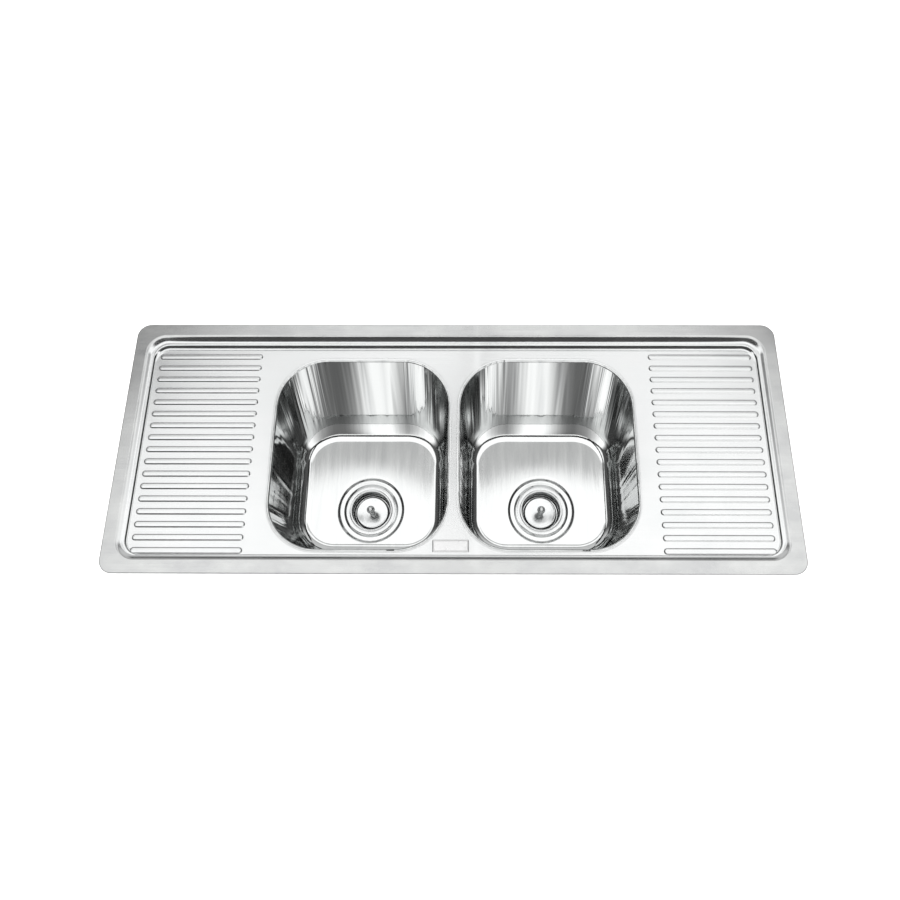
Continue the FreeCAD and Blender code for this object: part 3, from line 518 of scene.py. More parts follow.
def add_rib(builder, x0, x1, y):
    """One raised rib with round shoulders and a slightly crowned top. Returns its base loop."""
    loops = []

    def line(inset, height):
        points = stadium(x0 + inset, x1 - inset, y, RIB_HALF - inset, *RIB_STEPS)
        loops.append([(px, py, DECK_Z + height) for px, py in points])

    for step in range(11):
        line(RIB_SIDE * step / 10, RIB_HEIGHT * smooth_ramp(step / 10, 0.42))
    for inset, crown in RIB_TOP:
        line(inset, RIB_HEIGHT + crown)
    handles = builder.sweep(loops)
    builder.cap(handles[-1])
    return handles[0]


def bowl_mouth(side, grow):
    cx = side * DRAIN_X
    half_x, half_y, corner = BOWL_HALF_X + grow, BOWL_HALF_Y + grow, BOWL_CORNER + grow
    return rounded_rect(cx - half_x, cx + half_x, BOWL_Y - half_y, BOWL_Y + half_y, corner, *BOWL_STEPS)


def in_rounded_rect(x, y, cx, cy, half_x, half_y, radius):
    dx = max(abs(x - cx) - (half_x - radius), 0)
    dy = max(abs(y - cy) - (half_y - radius), 0)
    return abs(x - cx) < half_x and abs(y - cy) < half_y and math.hypot(dx, dy) < radius


def is_deck(x, y):
    """True on the flat deck: outside the bowls and off the ribs."""
    half_x, half_y = BOWL_HALF_X + LIP_RING, BOWL_HALF_Y + LIP_RING
    for side in (LEFT, RIGHT):
        if in_rounded_rect(x, y, side * DRAIN_X, BOWL_Y, half_x, half_y, BOWL_CORNER + LIP_RING):
            return False
    for x0, x1, row_y in rib_rows():
        mid = (x0 + x1) / 2
        if in_rounded_rect(x, y, mid, row_y, (x1 - x0) / 2, RIB_HALF, RIB_HALF * 0.999):
            return False
    return True


def fill_deck(builder, edge_handles):
    """Flat deck between the step's foot, the ribs and the two bowl mouths."""
    points = []
    owners = []
    edges = []
    for first, count in edge_handles:
        base = len(points)
        for index in range(count):
            vertex = builder.verts[first + index]
            points.append(Vector((vertex[0], vertex[1])))
            owners.append(first + index)
            edges.append((base + index, base + (index + 1) % count))
    solved = delaunay_2d_cdt(points, edges, [], 1, MERGE)
    places, faces, origins = solved[0], solved[2], solved[3]
    index_of = []
    for place, origin in zip(places, origins):
        if origin:
            index_of.append(owners[origin[0]])
        else:
            builder.verts.append((place.x, place.y, DECK_Z))
            builder.uvs.append((0.0, 1.0))
            index_of.append(len(builder.verts) - 1)
    for face in faces:
        middle = sum((places[i] for i in face), Vector((0, 0))) / len(face)
        if is_deck(middle.x, middle.y):
            builder.faces.append(tuple(index_of[i] for i in face))


def make_deck(material):
    builder = Builder()
    handles = builder.sweep(rim_loops() + step_loops())
    edges = [handles[-1]]
    for x0, x1, y in rib_rows():
        edges.append(add_rib(builder, x0, x1, y))
    for side in (LEFT, RIGHT):
        edges.append(builder.sweep([level(bowl_mouth(side, grow), DECK_Z) for grow in (LIP_RING, LIP)])[0])
    fill_deck(builder, edges)
    deck = object_from(builder, "deck_sheet", material)
    return weigh_normals(thicken(deck, SHEET))


# ---------------------------------------------------------------- the bowls
def fillet_radius(ny):
    """The floor's fillet is tightest along the sides."""
    return lerp(FLOOR_R_SIDE, FLOOR_R_BACK if ny > 0 else FLOOR_R_FRONT, ny * ny)


def floor_height(x, y, side):
    """The floor falls gently to the waste."""
    reach = math.hypot(x - side * DRAIN_X, y - DRAIN_Y) - RECESS_R
    return BOWL_FLOOR_Z + FLOOR_SLOPE * max(reach, 0)


def floor_outline(side):
    """Where the walls would meet the floor without the fillet; the back wall leans the most."""
    cx = side * DRAIN_X
    half_x = BOWL_HALF_X - BOWL_INSET
    front = BOWL_Y - BOWL_HALF_Y + BOWL_INSET
    back = BOWL_Y + BOWL_HALF_Y - BOWL_BACK_INSET
    return rounded_rect(cx - half_x, cx + half_x, front, back, BOWL_FLOOR_CORNER, *BOWL_STEPS)


def bowl_contacts(side):
    """For each point round the bowl: the wall's top and foot, and how the floor's fillet starts there."""
    contacts = []
    for mouth, foot in zip(bowl_mouth(side, 0.0), floor_outline(side)):
        x, y, nx, ny = foot
        inset = (mouth[0] - x) * nx + (mouth[1] - y) * ny
        lean = math.atan(inset / BOWL_DEPTH)
        radius = fillet_radius(ny)
        offset = inset + radius
        for _ in range(CONTACT_ROUNDS):
            foot_x, foot_y = x + nx * (inset - offset), y + ny * (inset - offset)
            height = floor_height(foot_x, foot_y, side)
            beyond = floor_height(foot_x + nx * SLOPE_REACH, foot_y + ny * SLOPE_REACH, side)
            slope = math.atan((beyond - height) / SLOPE_REACH)
            top_z = height + radius * (math.cos(slope) - math.sin(lean))
            offset = (DECK_Z - top_z) * math.tan(lean) + radius * (math.cos(lean) - math.sin(slope))
        contacts.append((mouth, foot, inset, lean, offset, radius, slope, height, top_z))
    return contacts


def bowl_wall_loops(contacts):
    """Straight leaning wall, then the fillet down to the floor."""
    loops = []
    for step in range(1, WALL_STEPS + 1):
        ring = []
        for (mouth_x, mouth_y, _, _), (x, y, nx, ny), inset, lean, _, _, _, _, top_z in contacts:
            start = LIP_R * math.tan(lean)
            end = inset - (DECK_Z - top_z) * math.tan(lean)
            top = Vector((mouth_x - nx * start, mouth_y - ny * start, DECK_Z - LIP_R))
            ring.append(tuple(top.lerp(Vector((x + nx * end, y + ny * end, top_z)), step / WALL_STEPS)))
        loops.append(ring)
    for step in range(1, FILLET_STEPS + 1):
        ring = []
        for _, (x, y, nx, ny), inset, lean, contact, radius, slope, height, _ in contacts:
            angle = lerp(math.radians(90) - lean, slope, step / FILLET_STEPS)
            shift = inset - contact + radius * (math.sin(angle) - math.sin(slope))
            z = height + radius * (math.cos(slope) - math.cos(angle))
            ring.append((x + nx * shift, y + ny * shift, z))
        loops.append(ring)
    return loops


def bowl_floor_loops(side, contacts):
    """Floor from the fillet's foot in to the waste, with the pressed recess."""
    cx = side * DRAIN_X
    edge = RECESS_R + RECESS_SHOULDER
    starts = []
    for _, (x, y, nx, ny), inset, _, contact, _, _, _, _ in contacts:
        place = Vector((x + nx * (inset - contact), y + ny * (inset - contact)))
        starts.append((place, (place - Vector((cx, DRAIN_Y))).normalized()))
    loops = []
    for step in range(1, FLOOR_STEPS + 1):
        ring = []
        for place, away in starts:
            spot = place.lerp(Vector((cx, DRAIN_Y)) + away * edge, step / FLOOR_STEPS)
            ring.append((spot.x, spot.y, floor_height(spot.x, spot.y, side)))
        loops.append(ring)
    foot = RECESS_FOOT_R - RECESS_SHOULDER
    shares = [step / RECESS_STEPS for step in range(1, RECESS_STEPS + 1)]
    circles = [(lerp(edge, foot, t), smooth_ramp(t, 0.4)) for t in shares]
    circles += [(radius, 1.0) for radius in (0.062, 0.056, 0.050, WASTE_HOLE_R)]
    for radius, share in circles:
        z = BOWL_FLOOR_Z - RECESS_DEPTH * share
        loops.append([(cx + away.x * radius, DRAIN_Y + away.y * radius, z) for _, away in starts])
    return loops


def bowl_loops(side):
    contacts = bowl_contacts(side)
    loops = [level(bowl_mouth(side, grow), DECK_Z) for grow in (LIP, (LIP + LIP_R) / 2)]
    for step in range(LIP_STEPS + 1):
        ring = []
        for (x, y, nx, ny), _, _, lean, _, _, _, _, _ in contacts:
            angle = lerp(0, math.radians(90) - lean, step / LIP_STEPS)
            end = math.sin(math.radians(90) - lean)
            shift = LIP_R * (end - math.sin(angle)) - LIP_R * math.tan(lean)
            drop = LIP_R * (1 - math.cos(angle)) / (1 - math.sin(lean))
            ring.append((x + nx * shift, y + ny * shift, DECK_Z - drop))
        loops.append(ring)
    return loops + bowl_wall_loops(contacts) + bowl_floor_loops(side, contacts)


def bake(piece):
    """Applies the piece's modifiers so far."""
    graph = bpy.context.evaluated_depsgraph_get()
    mesh = bpy.data.meshes.new_from_object(piece.evaluated_get(graph))
    piece.modifiers.clear()
    piece.data = mesh


def add_bar(builder, start, end, half_width, half_height, sides):
    """Closed straight bar between two points: sides 4 is a box, more is a round bar."""
    along = (Vector(end) - Vector(start)).normalized()
    upward = Vector((0, 0, 1)) if abs(along.z) < 0.9 else Vector((1, 0, 0))
    across = along.cross(upward).normalized()
    upward = across.cross(along)
    stretch = math.sqrt(2) if sides == 4 else 1.0
    ends = []
    for place in (start, end):
        ring = []
        for step in range(sides):
            angle = math.tau * (step + 0.5) / sides
            offset = across * half_width * math.cos(angle) + upward * half_height * math.sin(angle)
            ring.append(tuple(Vector(place) + offset * stretch))
        ends.append(ring)
    handles = builder.sweep(ends)
    builder.cap(handles[-1])
    builder.cap(handles[0])


def combine_with(piece, builder, operation):
    """Cuts the builder's bars out of the piece, or welds them to it."""
    mesh = bpy.data.meshes.new(piece.name + "_tools")
    mesh.from_pydata(builder.verts, [], builder.faces)
    work = bmesh.new()
    work.from_mesh(mesh)
    bmesh.ops.recalc_face_normals(work, faces=work.faces)
    work.to_mesh(mesh)
    work.free()
    tools = link(piece.name + "_tools", mesh)
    step = piece.modifiers.new("tools", "BOOLEAN")
    step.object = tools
    step.operation = operation
    step.solver = "EXACT"
    step.use_self = operation == "UNION"
    bake(piece)
    bpy.data.objects.remove(tools)


def reworked(piece, builder, operation, sharp=SHARP):
    """A closed piece after combine_with, with its sharp edges marked again."""
    piece.modifiers.clear()
    combine_with(piece, builder, operation)
    piece.data.set_sharp_from_angle(angle=math.radians(sharp))
    return weigh_normals(piece)


def make_bowl(side, name, material):
    builder = Builder()
    builder.sweep(bowl_loops(side))
    bowl = object_from(builder, name + "_bowl_shell", material)
    thicken(bowl, SHEET)
    if side == LEFT:
        bake(bowl)
        punches = Builder()
        wall = -DRAIN_X - BOWL_HALF_X
        for row in (-1, 0, 1):
            y = OVERFLOW_Y + row * OVERFLOW_PITCH
            start = (wall - PUNCH_OUTSIDE, y, OVERFLOW_Z)
            end = (wall + PUNCH_INSIDE, y, OVERFLOW_Z)
            add_bar(punches, start, end, OVERFLOW_HOLE_R, OVERFLOW_HOLE_R, 20)
        combine_with(bowl, punches, "DIFFERENCE")
    return weigh_normals(bowl)


# ---------------------------------------------------------------- turned pieces
def filleted(corners, steps=5):
    """Open or closed run of (radius, z, fillet) corners with each corner rounded."""
    points = []
    count = len(corners)
    for index, (r, z, fillet) in enumerate(corners):
        if not fillet:
            points.append((r, z))
            continue
        here = Vector((r, z))
        before = Vector(corners[index - 1][:2]) - here
        after = Vector(corners[(index + 1) % count][:2]) - here
        reach = min(fillet, before.length * 0.49, after.length * 0.49)
        start = here + before.normalized() * reach
        end = here + after.normalized() * reach
        for step in range(steps + 1):
            t = step / steps
            spot = start * (1 - t) * (1 - t) + here * 2 * t * (1 - t) + end * t * t
            points.append((spot.x, spot.y))
    return points


def dense_run(r, z0, z1, step):
    """Straight upright run cut into short steps, for a thread."""
    count = max(2, round(abs(z1 - z0) / step))
    return [(r, lerp(z0, z1, index / count), 0) for index in range(count + 1)]


def thread_cut(r, z, angle, thread):
    """How far a thread's flank lies below its crest."""
    low, high, depth, pitch, least_r = thread
    if r < least_r or not low <= z <= high:
        return 0.0
    turn = (z / pitch - angle / math.tau) % 1.0
    fade = min(1.0, (z - low) / pitch, (high - z) / pitch)
    return depth * fade * min(1.0, abs(2 * turn - 1) * 1.5)


def turned(builder, corners, x, y, segments=72, closed=True, thread=None):
    """Revolves a profile about the upright line at x, y."""
    profile = filleted(corners)
    length = 0.0
    handles = []
    last = profile[0]
    for r, z in profile:
        length += math.hypot(r - last[0], z - last[1])
        last = (r, z)
        ring = []
        for step in range(segments):
            angle = math.tau * step / segments
            radius = r - (thread_cut(r, z, angle, thread) if thread else 0.0)
            ring.append((x + radius * math.cos(angle), y + radius * math.sin(angle), z))
        handles.append(builder.loop(ring, length))
    for low, high in zip(handles, handles[1:]):
        builder.bridge(low, high)
    if closed:
        builder.bridge(handles[-1], handles[0])


def closed_object(builder, name, material, sharp=SHARP):
    """A closed mesh with its poles merged and its normals pointing out."""
    piece = object_from(builder, name, material)
    work = bmesh.new()
    work.from_mesh(piece.data)
    bmesh.ops.remove_doubles(work, verts=work.verts, dist=MERGE)
    bmesh.ops.dissolve_degenerate(work, edges=work.edges, dist=1e-8)
    bmesh.ops.recalc_face_normals(work, faces=work.faces)
    work.to_mesh(piece.data)
    work.free()
    piece.data.set_sharp_from_angle(angle=math.radians(sharp))
    return weigh_normals(piece)


def turned_piece(profile, side, name, material, segments, **options):
    """A turned profile over the waste of that side, as a closed object."""
    builder = Builder()
    turned(builder, profile, side * DRAIN_X, DRAIN_Y, segments, **options)
    return closed_object(builder, name, material)


# ---------------------------------------------------------------- waste fitting
def make_strainer_body(side, name, material):
    """Flange, cup, threaded neck and spigot, with the spider that the basket's post drops into."""
    top = FLANGE_Z
    profile = [
        (MOUTH_R, top - 0.0055, 0.003),
        (MOUTH_R + 0.0016, top - 0.0004, 0.003),
        (MOUTH_R + 0.0040, top - 0.0011, 0.0015),
        (MOUTH_R + 0.0062, top - 0.0001, 0.0012),
        (FLANGE_R - 0.0056, top, 0.003),
        (FLANGE_R - 0.0006, top - 0.0022, 0.0016),
        (FLANGE_R - 0.0002, top - 0.0025, 0.0001),
        (FLANGE_R - 0.0012, top - 0.0025, 0.0001),
        (FLANGE_R - 0.0060, top - FLANGE_T, 0.002),
        (THREAD_R, top - FLANGE_T, 0),
    ]
    profile += dense_run(THREAD_R, THREAD_LOW_Z, THREAD_TOP_Z, THREAD_RUN)[::-1]
    profile += [
        (MOUTH_R + CUP_WALL, top - 0.026, 0.001),
        (MOUTH_R + CUP_WALL, CUP_SEAT_Z, 0.004),
        (SPIGOT_R + CUP_WALL, CUP_FLOOR_Z - CUP_WALL, 0.003),
        (SPIGOT_R, CUP_FLOOR_Z - 2 * CUP_WALL, 0.001),
        (SPIGOT_R, SPIGOT_LOW, 0.0004),
        (SPIGOT_BORE_R, SPIGOT_LOW, 0.0004),
        (SPIGOT_BORE_R, CUP_FLOOR_Z, 0.002),
        (MOUTH_R - 0.0005, CUP_SEAT_Z, 0.006),
    ]
    thread = (THREAD_LOW_Z, THREAD_TOP_Z, THREAD_DEPTH, THREAD_PITCH, THREAD_R - 0.0001)
    cup = turned_piece(profile, side, name + "_waste_cup", material, 120, thread=thread)
    return reworked(cup, spider(side * DRAIN_X), "UNION")


def spider(x):
    """Small hub on three arms in the top of the spigot."""
    low, high = SPIDER_LOW_Z, SPIDER_TOP_Z
    hub = [
        (SPIDER_BORE_R, low, 0),
        (SPIDER_HUB_R, low, 0.0006),
        (SPIDER_HUB_R, high, 0.0006),
        (SPIDER_BORE_R, high, 0),
    ]
    builder = Builder()
    turned(builder, hub, x, DRAIN_Y, 40)
    centre = Vector((x, DRAIN_Y, (low + high) / 2))
    for angle in (90, 210, 330):
        away = outward(math.radians(angle))
        start = centre + away * (SPIDER_HUB_R - 0.0015)
        add_bar(builder, start, centre + away * (SPIGOT_BORE_R + 0.001), *SPIDER_ARM, 4)
    return builder


def make_basket(side, name, material):
    """Perforated cup with a rolled lip."""
    top, low = BASKET_TOP_Z, BASKET_LOW_Z
    wall = BASKET_WALL
    profile = [
        (BASKET_WALL_R, top - 0.0006, 0.0006),
        (BASKET_TOP_R - 0.0008, top, 0.001),
        (BASKET_TOP_R, top - 0.0005, 0.0004),
        (BASKET_TOP_R - 0.0004, top - 0.0012, 0.0004),
        (BASKET_WALL_R + wall, top - 0.0014, 0.0006),
        (BASKET_FOOT_R + wall, low, 0.003),
        (POST_BORE_R, low, 0),
        (POST_BORE_R, low + wall, 0),
        (BASKET_FOOT_R, low + wall, 0.0024),
    ]
    basket = turned_piece(profile, side, name + "_basket_cup", material, 96)
    return reworked(basket, basket_punches(side * DRAIN_X), "DIFFERENCE")


def basket_punches(x):
    """Bars where the basket's foot and wall are perforated."""
    top, low = BASKET_TOP_Z, BASKET_LOW_Z
    punches = Builder()

    def punch(start, end):
        add_bar(punches, start, end, BASKET_HOLE_R, BASKET_HOLE_R, 14)

    for ring_r, count in BASKET_FOOT_RINGS:
        for index in range(count):
            angle = math.tau * index / count
            place = Vector((x, DRAIN_Y, low)) + outward(angle) * ring_r
            punch(place - Vector((0, 0, 0.001)), place + Vector((0, 0, 0.002)))
    for row in range(BASKET_WALL_ROWS):
        z = lerp(low, top, (row + 1) / (BASKET_WALL_ROWS + 1))
        for index in range(BASKET_WALL_HOLES):
            angle = math.tau * (index + 0.5 * (row % 2)) / BASKET_WALL_HOLES
            away = outward(angle)
            centre = Vector((x, DRAIN_Y, z))
            punch(centre + away * (BASKET_FOOT_R - 0.002), centre + away * (BASKET_TOP_R + 0.002))
    return punches


def make_stopper(side, name, material):
    """Rubber disc with a thin sealing lip."""
    top = BASKET_LOW_Z
    low = top - STOPPER_T
    profile = [
        (POST_BORE_R, top, 0),
        (STOPPER_R - 0.0080, top, 0.0004),
        (STOPPER_R - 0.0076, top - 0.0006, 0.0004),
        (STOPPER_R - 0.0030, top - 0.0006, 0.0004),
        (STOPPER_R - 0.0026, top, 0.0004),
        (STOPPER_R - 0.0010, top - 0.0001, 0.0004),
        (STOPPER_R, top - 0.0012, 0.0006),
        (STOPPER_R - 0.0045, low, 0.0010),
        (POST_BORE_R, low, 0),
    ]
    return turned_piece(profile, side, name + "_stopper_disc", material, 80)


def make_drain_seal(side, name, material):
    """Rubber ring pinched between the flange and the recess."""
    low, top = BOWL_FLOOR_Z - RECESS_DEPTH, FLANGE_Z - FLANGE_T - 0.0001
    inner, outer = WASTE_HOLE_R + 0.0005, FLANGE_R - 0.0066
    profile = [(inner, low, 0.0004), (outer, low, 0.0006), (outer, top, 0.0006), (inner, top, 0.0004)]
    return turned_piece(profile, side, name + "_seal_ring", material, 80)


def make_cover(side, name, material):
    """Dished disc over the basket, with a rolled edge."""
    z = COVER_Z
    centre, middle, edge = z - COVER_DISH, z - COVER_DISH * 0.75, z - COVER_DISH * 0.2
    profile = [
        (POST_R, centre, 0),
        (0.0090, centre, 0.004),
        (0.0200, middle, 0.006),
        (COVER_R - 0.0035, edge, 0.002),
        (COVER_R - 0.0012, z, 0.0012),
        (COVER_R, z - 0.0004, 0.0005),
        (COVER_R - 0.0004, z - 0.0010, 0.0004),
        (COVER_R - 0.0035, edge - COVER_T, 0.002),
        (0.0200, middle - COVER_T, 0.006),
        (0.0090, centre - COVER_T, 0.004),
        (POST_R, centre - COVER_T, 0),
    ]
    return turned_piece(profile, side, name + "_cover_disc", material, 96)


def ball_outline(low_angle, high_angle, steps):
    """Points on the knob's ball, as degrees up from its equator."""
    points = []
    for step in range(steps + 1):
        angle = math.radians(lerp(low_angle, high_angle, step / steps))
        points.append((KNOB_R * math.cos(angle), KNOB_Z + KNOB_R * math.sin(angle), 0))
    return points


def make_post(side, name, material):
    """Post with a collar on the cover and a ball knob with a small dimple on top."""
    collar_z = COVER_Z - COVER_DISH
    profile = [
        (0, POST_LOW_Z, 0),
        (POST_R - 0.0006, POST_LOW_Z, 0.0003),
        (POST_R, POST_LOW_Z + 0.0006, 0.0003),
        (POST_R, collar_z - 0.0009, 0),
        (COLLAR_R, collar_z - 0.0001, 0),
        (COLLAR_R, collar_z + 0.0011, 0.0008),
        (0.0044, collar_z + 0.0024, 0.001),
        (0.0036, collar_z + 0.0060, 0.003),
        (0.0040, KNOB_Z - 0.0085, 0.001),
    ]
    profile += ball_outline(-56, 72, 26)
    profile += [(0.0022, KNOB_Z + 0.0080, 0.0004), (0.0018, KNOB_Z + 0.0073, 0.0004), (0, KNOB_Z + 0.0072, 0)]
    return turned_piece(profile, side, name + "_knob_and_post", material, 64, closed=False)


# ---------------------------------------------------------------- small pieces
def softened(node, material, width):
    """A new piece with the CAD node's shape, its flat faces joined up and its edges rounded."""
    work = bmesh.new()
    work.from_mesh(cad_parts[node].data)
    bmesh.ops.remove_doubles(work, verts=work.verts, dist=1e-6)
    bmesh.ops.dissolve_limit(work, angle_limit=math.radians(1), verts=work.verts, edges=work.edges)
    bmesh.ops.recalc_face_normals(work, faces=work.faces)
    mesh = bpy.data.meshes.new(node)
    work.to_mesh(mesh)
    work.free()
    mesh.polygons.foreach_set("use_smooth", [True] * len(mesh.polygons))
    mesh.materials.append(material)
    piece = link(node + "_rounded", mesh)
    rounding = piece.modifiers.new("rounding", "BEVEL")
    rounding.width = width
    rounding.segments = 2
    rounding.limit_method = "ANGLE"
    rounding.angle_limit = math.radians(BEVEL_FROM)
    return weigh_normals(piece)


def cross_outline():
    """The screwdriver's cross in the clip screw's head."""
    w, r = SLOT_HALF, SLOT_REACH
    arm = [(r, -w), (r, w), (w, w)]
    return [
        (x * cos - y * sin, x * sin + y * cos)
        for cos, sin in ((1, 0), (0, 1), (-1, 0), (0, -1))
        for x, y in arm
    ]


def clip_screw_mesh(material):
    """Long threaded screw with a cross-slotted round head, standing on the Z axis."""
    head_z = HEAD_TOP_Z - HEAD_T
    thread_low, thread_top = HEAD_TOP_Z + SCREW_PLAIN, SCREW_TOP_Z - SCREW_PLAIN
    profile = [
        (0, head_z, 0),
        (HEAD_R - 0.0006, head_z, 0.0006),
        (HEAD_R, head_z + 0.0012, 0.0010),
        (HEAD_R, HEAD_TOP_Z, 0.0003),
        (SCREW_R, HEAD_TOP_Z, 0.0003),
    ]
    profile += dense_run(SCREW_R, thread_low, thread_top, SCREW_RUN)
    profile += [(SCREW_R - 0.0006, SCREW_TOP_Z, 0), (0, SCREW_TOP_Z, 0)]
    builder = Builder()
    thread = (thread_low, thread_top, SCREW_THREAD_DEPTH, SCREW_PITCH, SCREW_R - 0.0001)
    turned(builder, profile, 0.0, 0.0, 20, closed=False, thread=thread)
    screw = closed_object(builder, "clip_screw_pattern", material, SHARP_SCREW)
    slots = Builder()
    handles = slots.sweep([level(cross_outline(), head_z + height) for height in (-SLOT_DEPTH, SLOT_DEPTH)])
    slots.cap(handles[0])
    slots.cap(handles[1])
    mesh = reworked(screw, slots, "DIFFERENCE", SHARP_SCREW).data
    bpy.data.objects.remove(screw)
    return mesh


def hose_spot(distance):
    """Centre, direction and sideways unit vector at that distance down the hose."""
    heading = Vector((-DRAIN_X - HOSE_X, DRAIN_Y - OVERFLOW_Y, 0)).normalized()
    side = heading.cross(Vector((0, 0, 1)))
    drop = HOSE_TOP_Z - HOSE_LOW_Z - HOSE_BEND_R
    bend = HOSE_BEND_R * math.pi / 2
    start = Vector((HOSE_X, OVERFLOW_Y, HOSE_TOP_Z))
    if distance < drop:
        return start - Vector((0, 0, distance)), Vector((0, 0, -1)), side
    angle = min((distance - drop) / HOSE_BEND_R, math.pi / 2)
    centre = start - Vector((0, 0, drop)) + heading * HOSE_BEND_R * (1 - math.cos(angle))
    centre -= Vector((0, 0, HOSE_BEND_R * math.sin(angle)))
    forward = heading * math.sin(angle) - Vector((0, 0, math.cos(angle)))
    return centre + forward * max(distance - drop - bend, 0), forward, side


def hose_ring(distance, radius):
    centre, forward, side = hose_spot(distance)
    other = forward.cross(side)
    ring = []
    for step in range(HOSE_SIDES):
        angle = math.tau * step / HOSE_SIDES
        ring.append(tuple(centre + (side * math.cos(angle) + other * math.sin(angle)) * radius))
    return ring


def make_hose(material):
    """Corrugated hose with plain cuffs for its two clamps."""
    drop = HOSE_TOP_Z - HOSE_LOW_Z - HOSE_BEND_R
    across = math.hypot(-DRAIN_X - HOSE_X, DRAIN_Y - OVERFLOW_Y) - HOSE_BEND_R - HOSE_END
    length = drop + HOSE_BEND_R * math.pi / 2 + across
    folds = round((length - 2 * HOSE_CUFF) / HOSE_PITCH)
    pitch = (length - 2 * HOSE_CUFF) / folds
    crest = HOSE_R - 0.0001
    rings = [hose_ring(distance, crest) for distance in (0.0, HOSE_CUFF * 0.5)]
    for step in range(folds * HOSE_FOLD_STEPS + 1):
        wave = 0.5 - 0.5 * math.cos(math.tau * step / HOSE_FOLD_STEPS)
        radius = crest - HOSE_FOLD_DEPTH * wave ** 0.7
        rings.append(hose_ring(HOSE_CUFF + pitch * step / HOSE_FOLD_STEPS, radius))
    rings += [hose_ring(distance, crest) for distance in (length - HOSE_CUFF * 0.5, length)]
    for step in range(HOSE_BORE_STEPS + 1):
        rings.append(hose_ring(length * (1 - step / HOSE_BORE_STEPS), HOSE_BORE_R))
    builder = Builder()
    builder.sweep(rings, closed=True)
    return closed_object(builder, "overflow_hose_corrugated", material, SHARP_SMALL)


def make_badge(material):
    """Blank plate with a raised, bevelled frame."""
    (x0, y0, base), (x1, y1, top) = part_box("badge_plate")
    loops = []

    def line(inset, z):
        radius = max(BADGE_CORNER - inset, 0.0003)
        points = rounded_rect(x0 + inset, x1 - inset, y0 + inset, y1 - inset, radius, *BADGE_STEPS)
        loops.append(level(points, z))

    def slope(inset, width, start_z, end_z):
        for step in range(7):
            line(inset + width * step / 6, lerp(start_z, end_z, smooth_ramp(step / 6, 0.4)))

    line(0.0, base)
    line(0.0, base + 0.0002)
    slope(0.0002, 0.0012, base + 0.0003, top)
    slope(0.0022, 0.0008, top, top - BADGE_SUNK)
    line(0.0040, top - BADGE_SUNK)
    line(0.0100, top - BADGE_SUNK + 0.00006)
    builder = Builder()
    handles = builder.sweep(loops)
    builder.cap(handles[-1])
    builder.cap(handles[0])
    return closed_object(builder, "badge_blank", material, SHARP_SMALL)


# ---------------------------------------------------------------- materials
class Shader:
    """Short forms for building one node material."""

    def __init__(self, name):
        self.material = bpy.data.materials.new(name)
        self.material.use_nodes = True
        self.tree = self.material.node_tree
        self.tree.nodes.clear()
        self.surface = self.node("BsdfPrincipled")
        self.put(self.node("OutputMaterial").inputs["Surface"], self.surface.outputs["BSDF"])
        self.place = self.node("TexCoord")
        self.bumps = None

    def node(self, kind, **values):
        """A new node with those inputs set."""
        node = self.tree.nodes.new("ShaderNode" + kind)
        for key, value in values.items():
            self.put(node.inputs[key.replace("_", " ").title()], value)
        return node

    def put(self, socket, value):
        if isinstance(value, bpy.types.NodeSocket):
            self.tree.links.new(value, socket)
        else:
            socket.default_value = value

    def set(self, **values):
        for key, value in values.items():
            self.put(self.surface.inputs[key.replace("_", " ").title()], value)

    def stretched(self, *scale, source="Object"):
        return self.node("Mapping", vector=self.place.outputs[source], scale=scale).outputs["Vector"]

    def noise(self, vector, scale=1.0, detail=3.0, rough=0.5, warp=0.0):
        values = {"scale": scale, "detail": detail, "roughness": rough, "distortion": warp}
        return self.node("TexNoise", vector=vector, **values).outputs["Fac"]

    def remap(self, value, low, high, to_low=0.0, to_high=1.0):
        node = self.node("MapRange", value=value, from_min=low, from_max=high, to_min=to_low, to_max=to_high)
        return node.outputs["Result"]

    def spread(self, noise, low=0.0, high=1.0):
        """The noise's usual range spread from low to high."""
        return self.remap(noise, *MIDDLE, low, high)

    def math(self, operation, a, b=0.0):
        node = self.node("Math")
        node.operation = operation
        self.put(node.inputs[0], a)
        self.put(node.inputs[1], b)
        return node.outputs[0]

    def mix(self, share, a, b):
        """Mixes two colours."""
        node = self.node("Mix")
        node.data_type = "RGBA"
        self.put(node.inputs[0], share)
        for socket, colour in ((node.inputs[6], a), (node.inputs[7], b)):
            self.put(socket, (*colour, 1.0) if isinstance(colour, tuple) else colour)
        return node.outputs[2]

    def blend(self, share, a, b):
        """Mixes two numbers."""
        node = self.node("Mix")
        for socket, value in ((node.inputs[0], share), (node.inputs[2], a), (node.inputs[3], b)):
            self.put(socket, value)
        return node.outputs[0]

    def split(self, vector):
        return self.node("SeparateXYZ", vector=vector).outputs

    def bump(self, height, depth):
        """Adds a bump on top of those already there. Depth is in metres."""
        node = self.node("Bump", strength=1.0, distance=depth, height=height)
        if self.bumps:
            self.put(node.inputs["Normal"], self.bumps)
        self.bumps = node.outputs["Normal"]
        self.put(self.surface.inputs["Normal"], self.bumps)


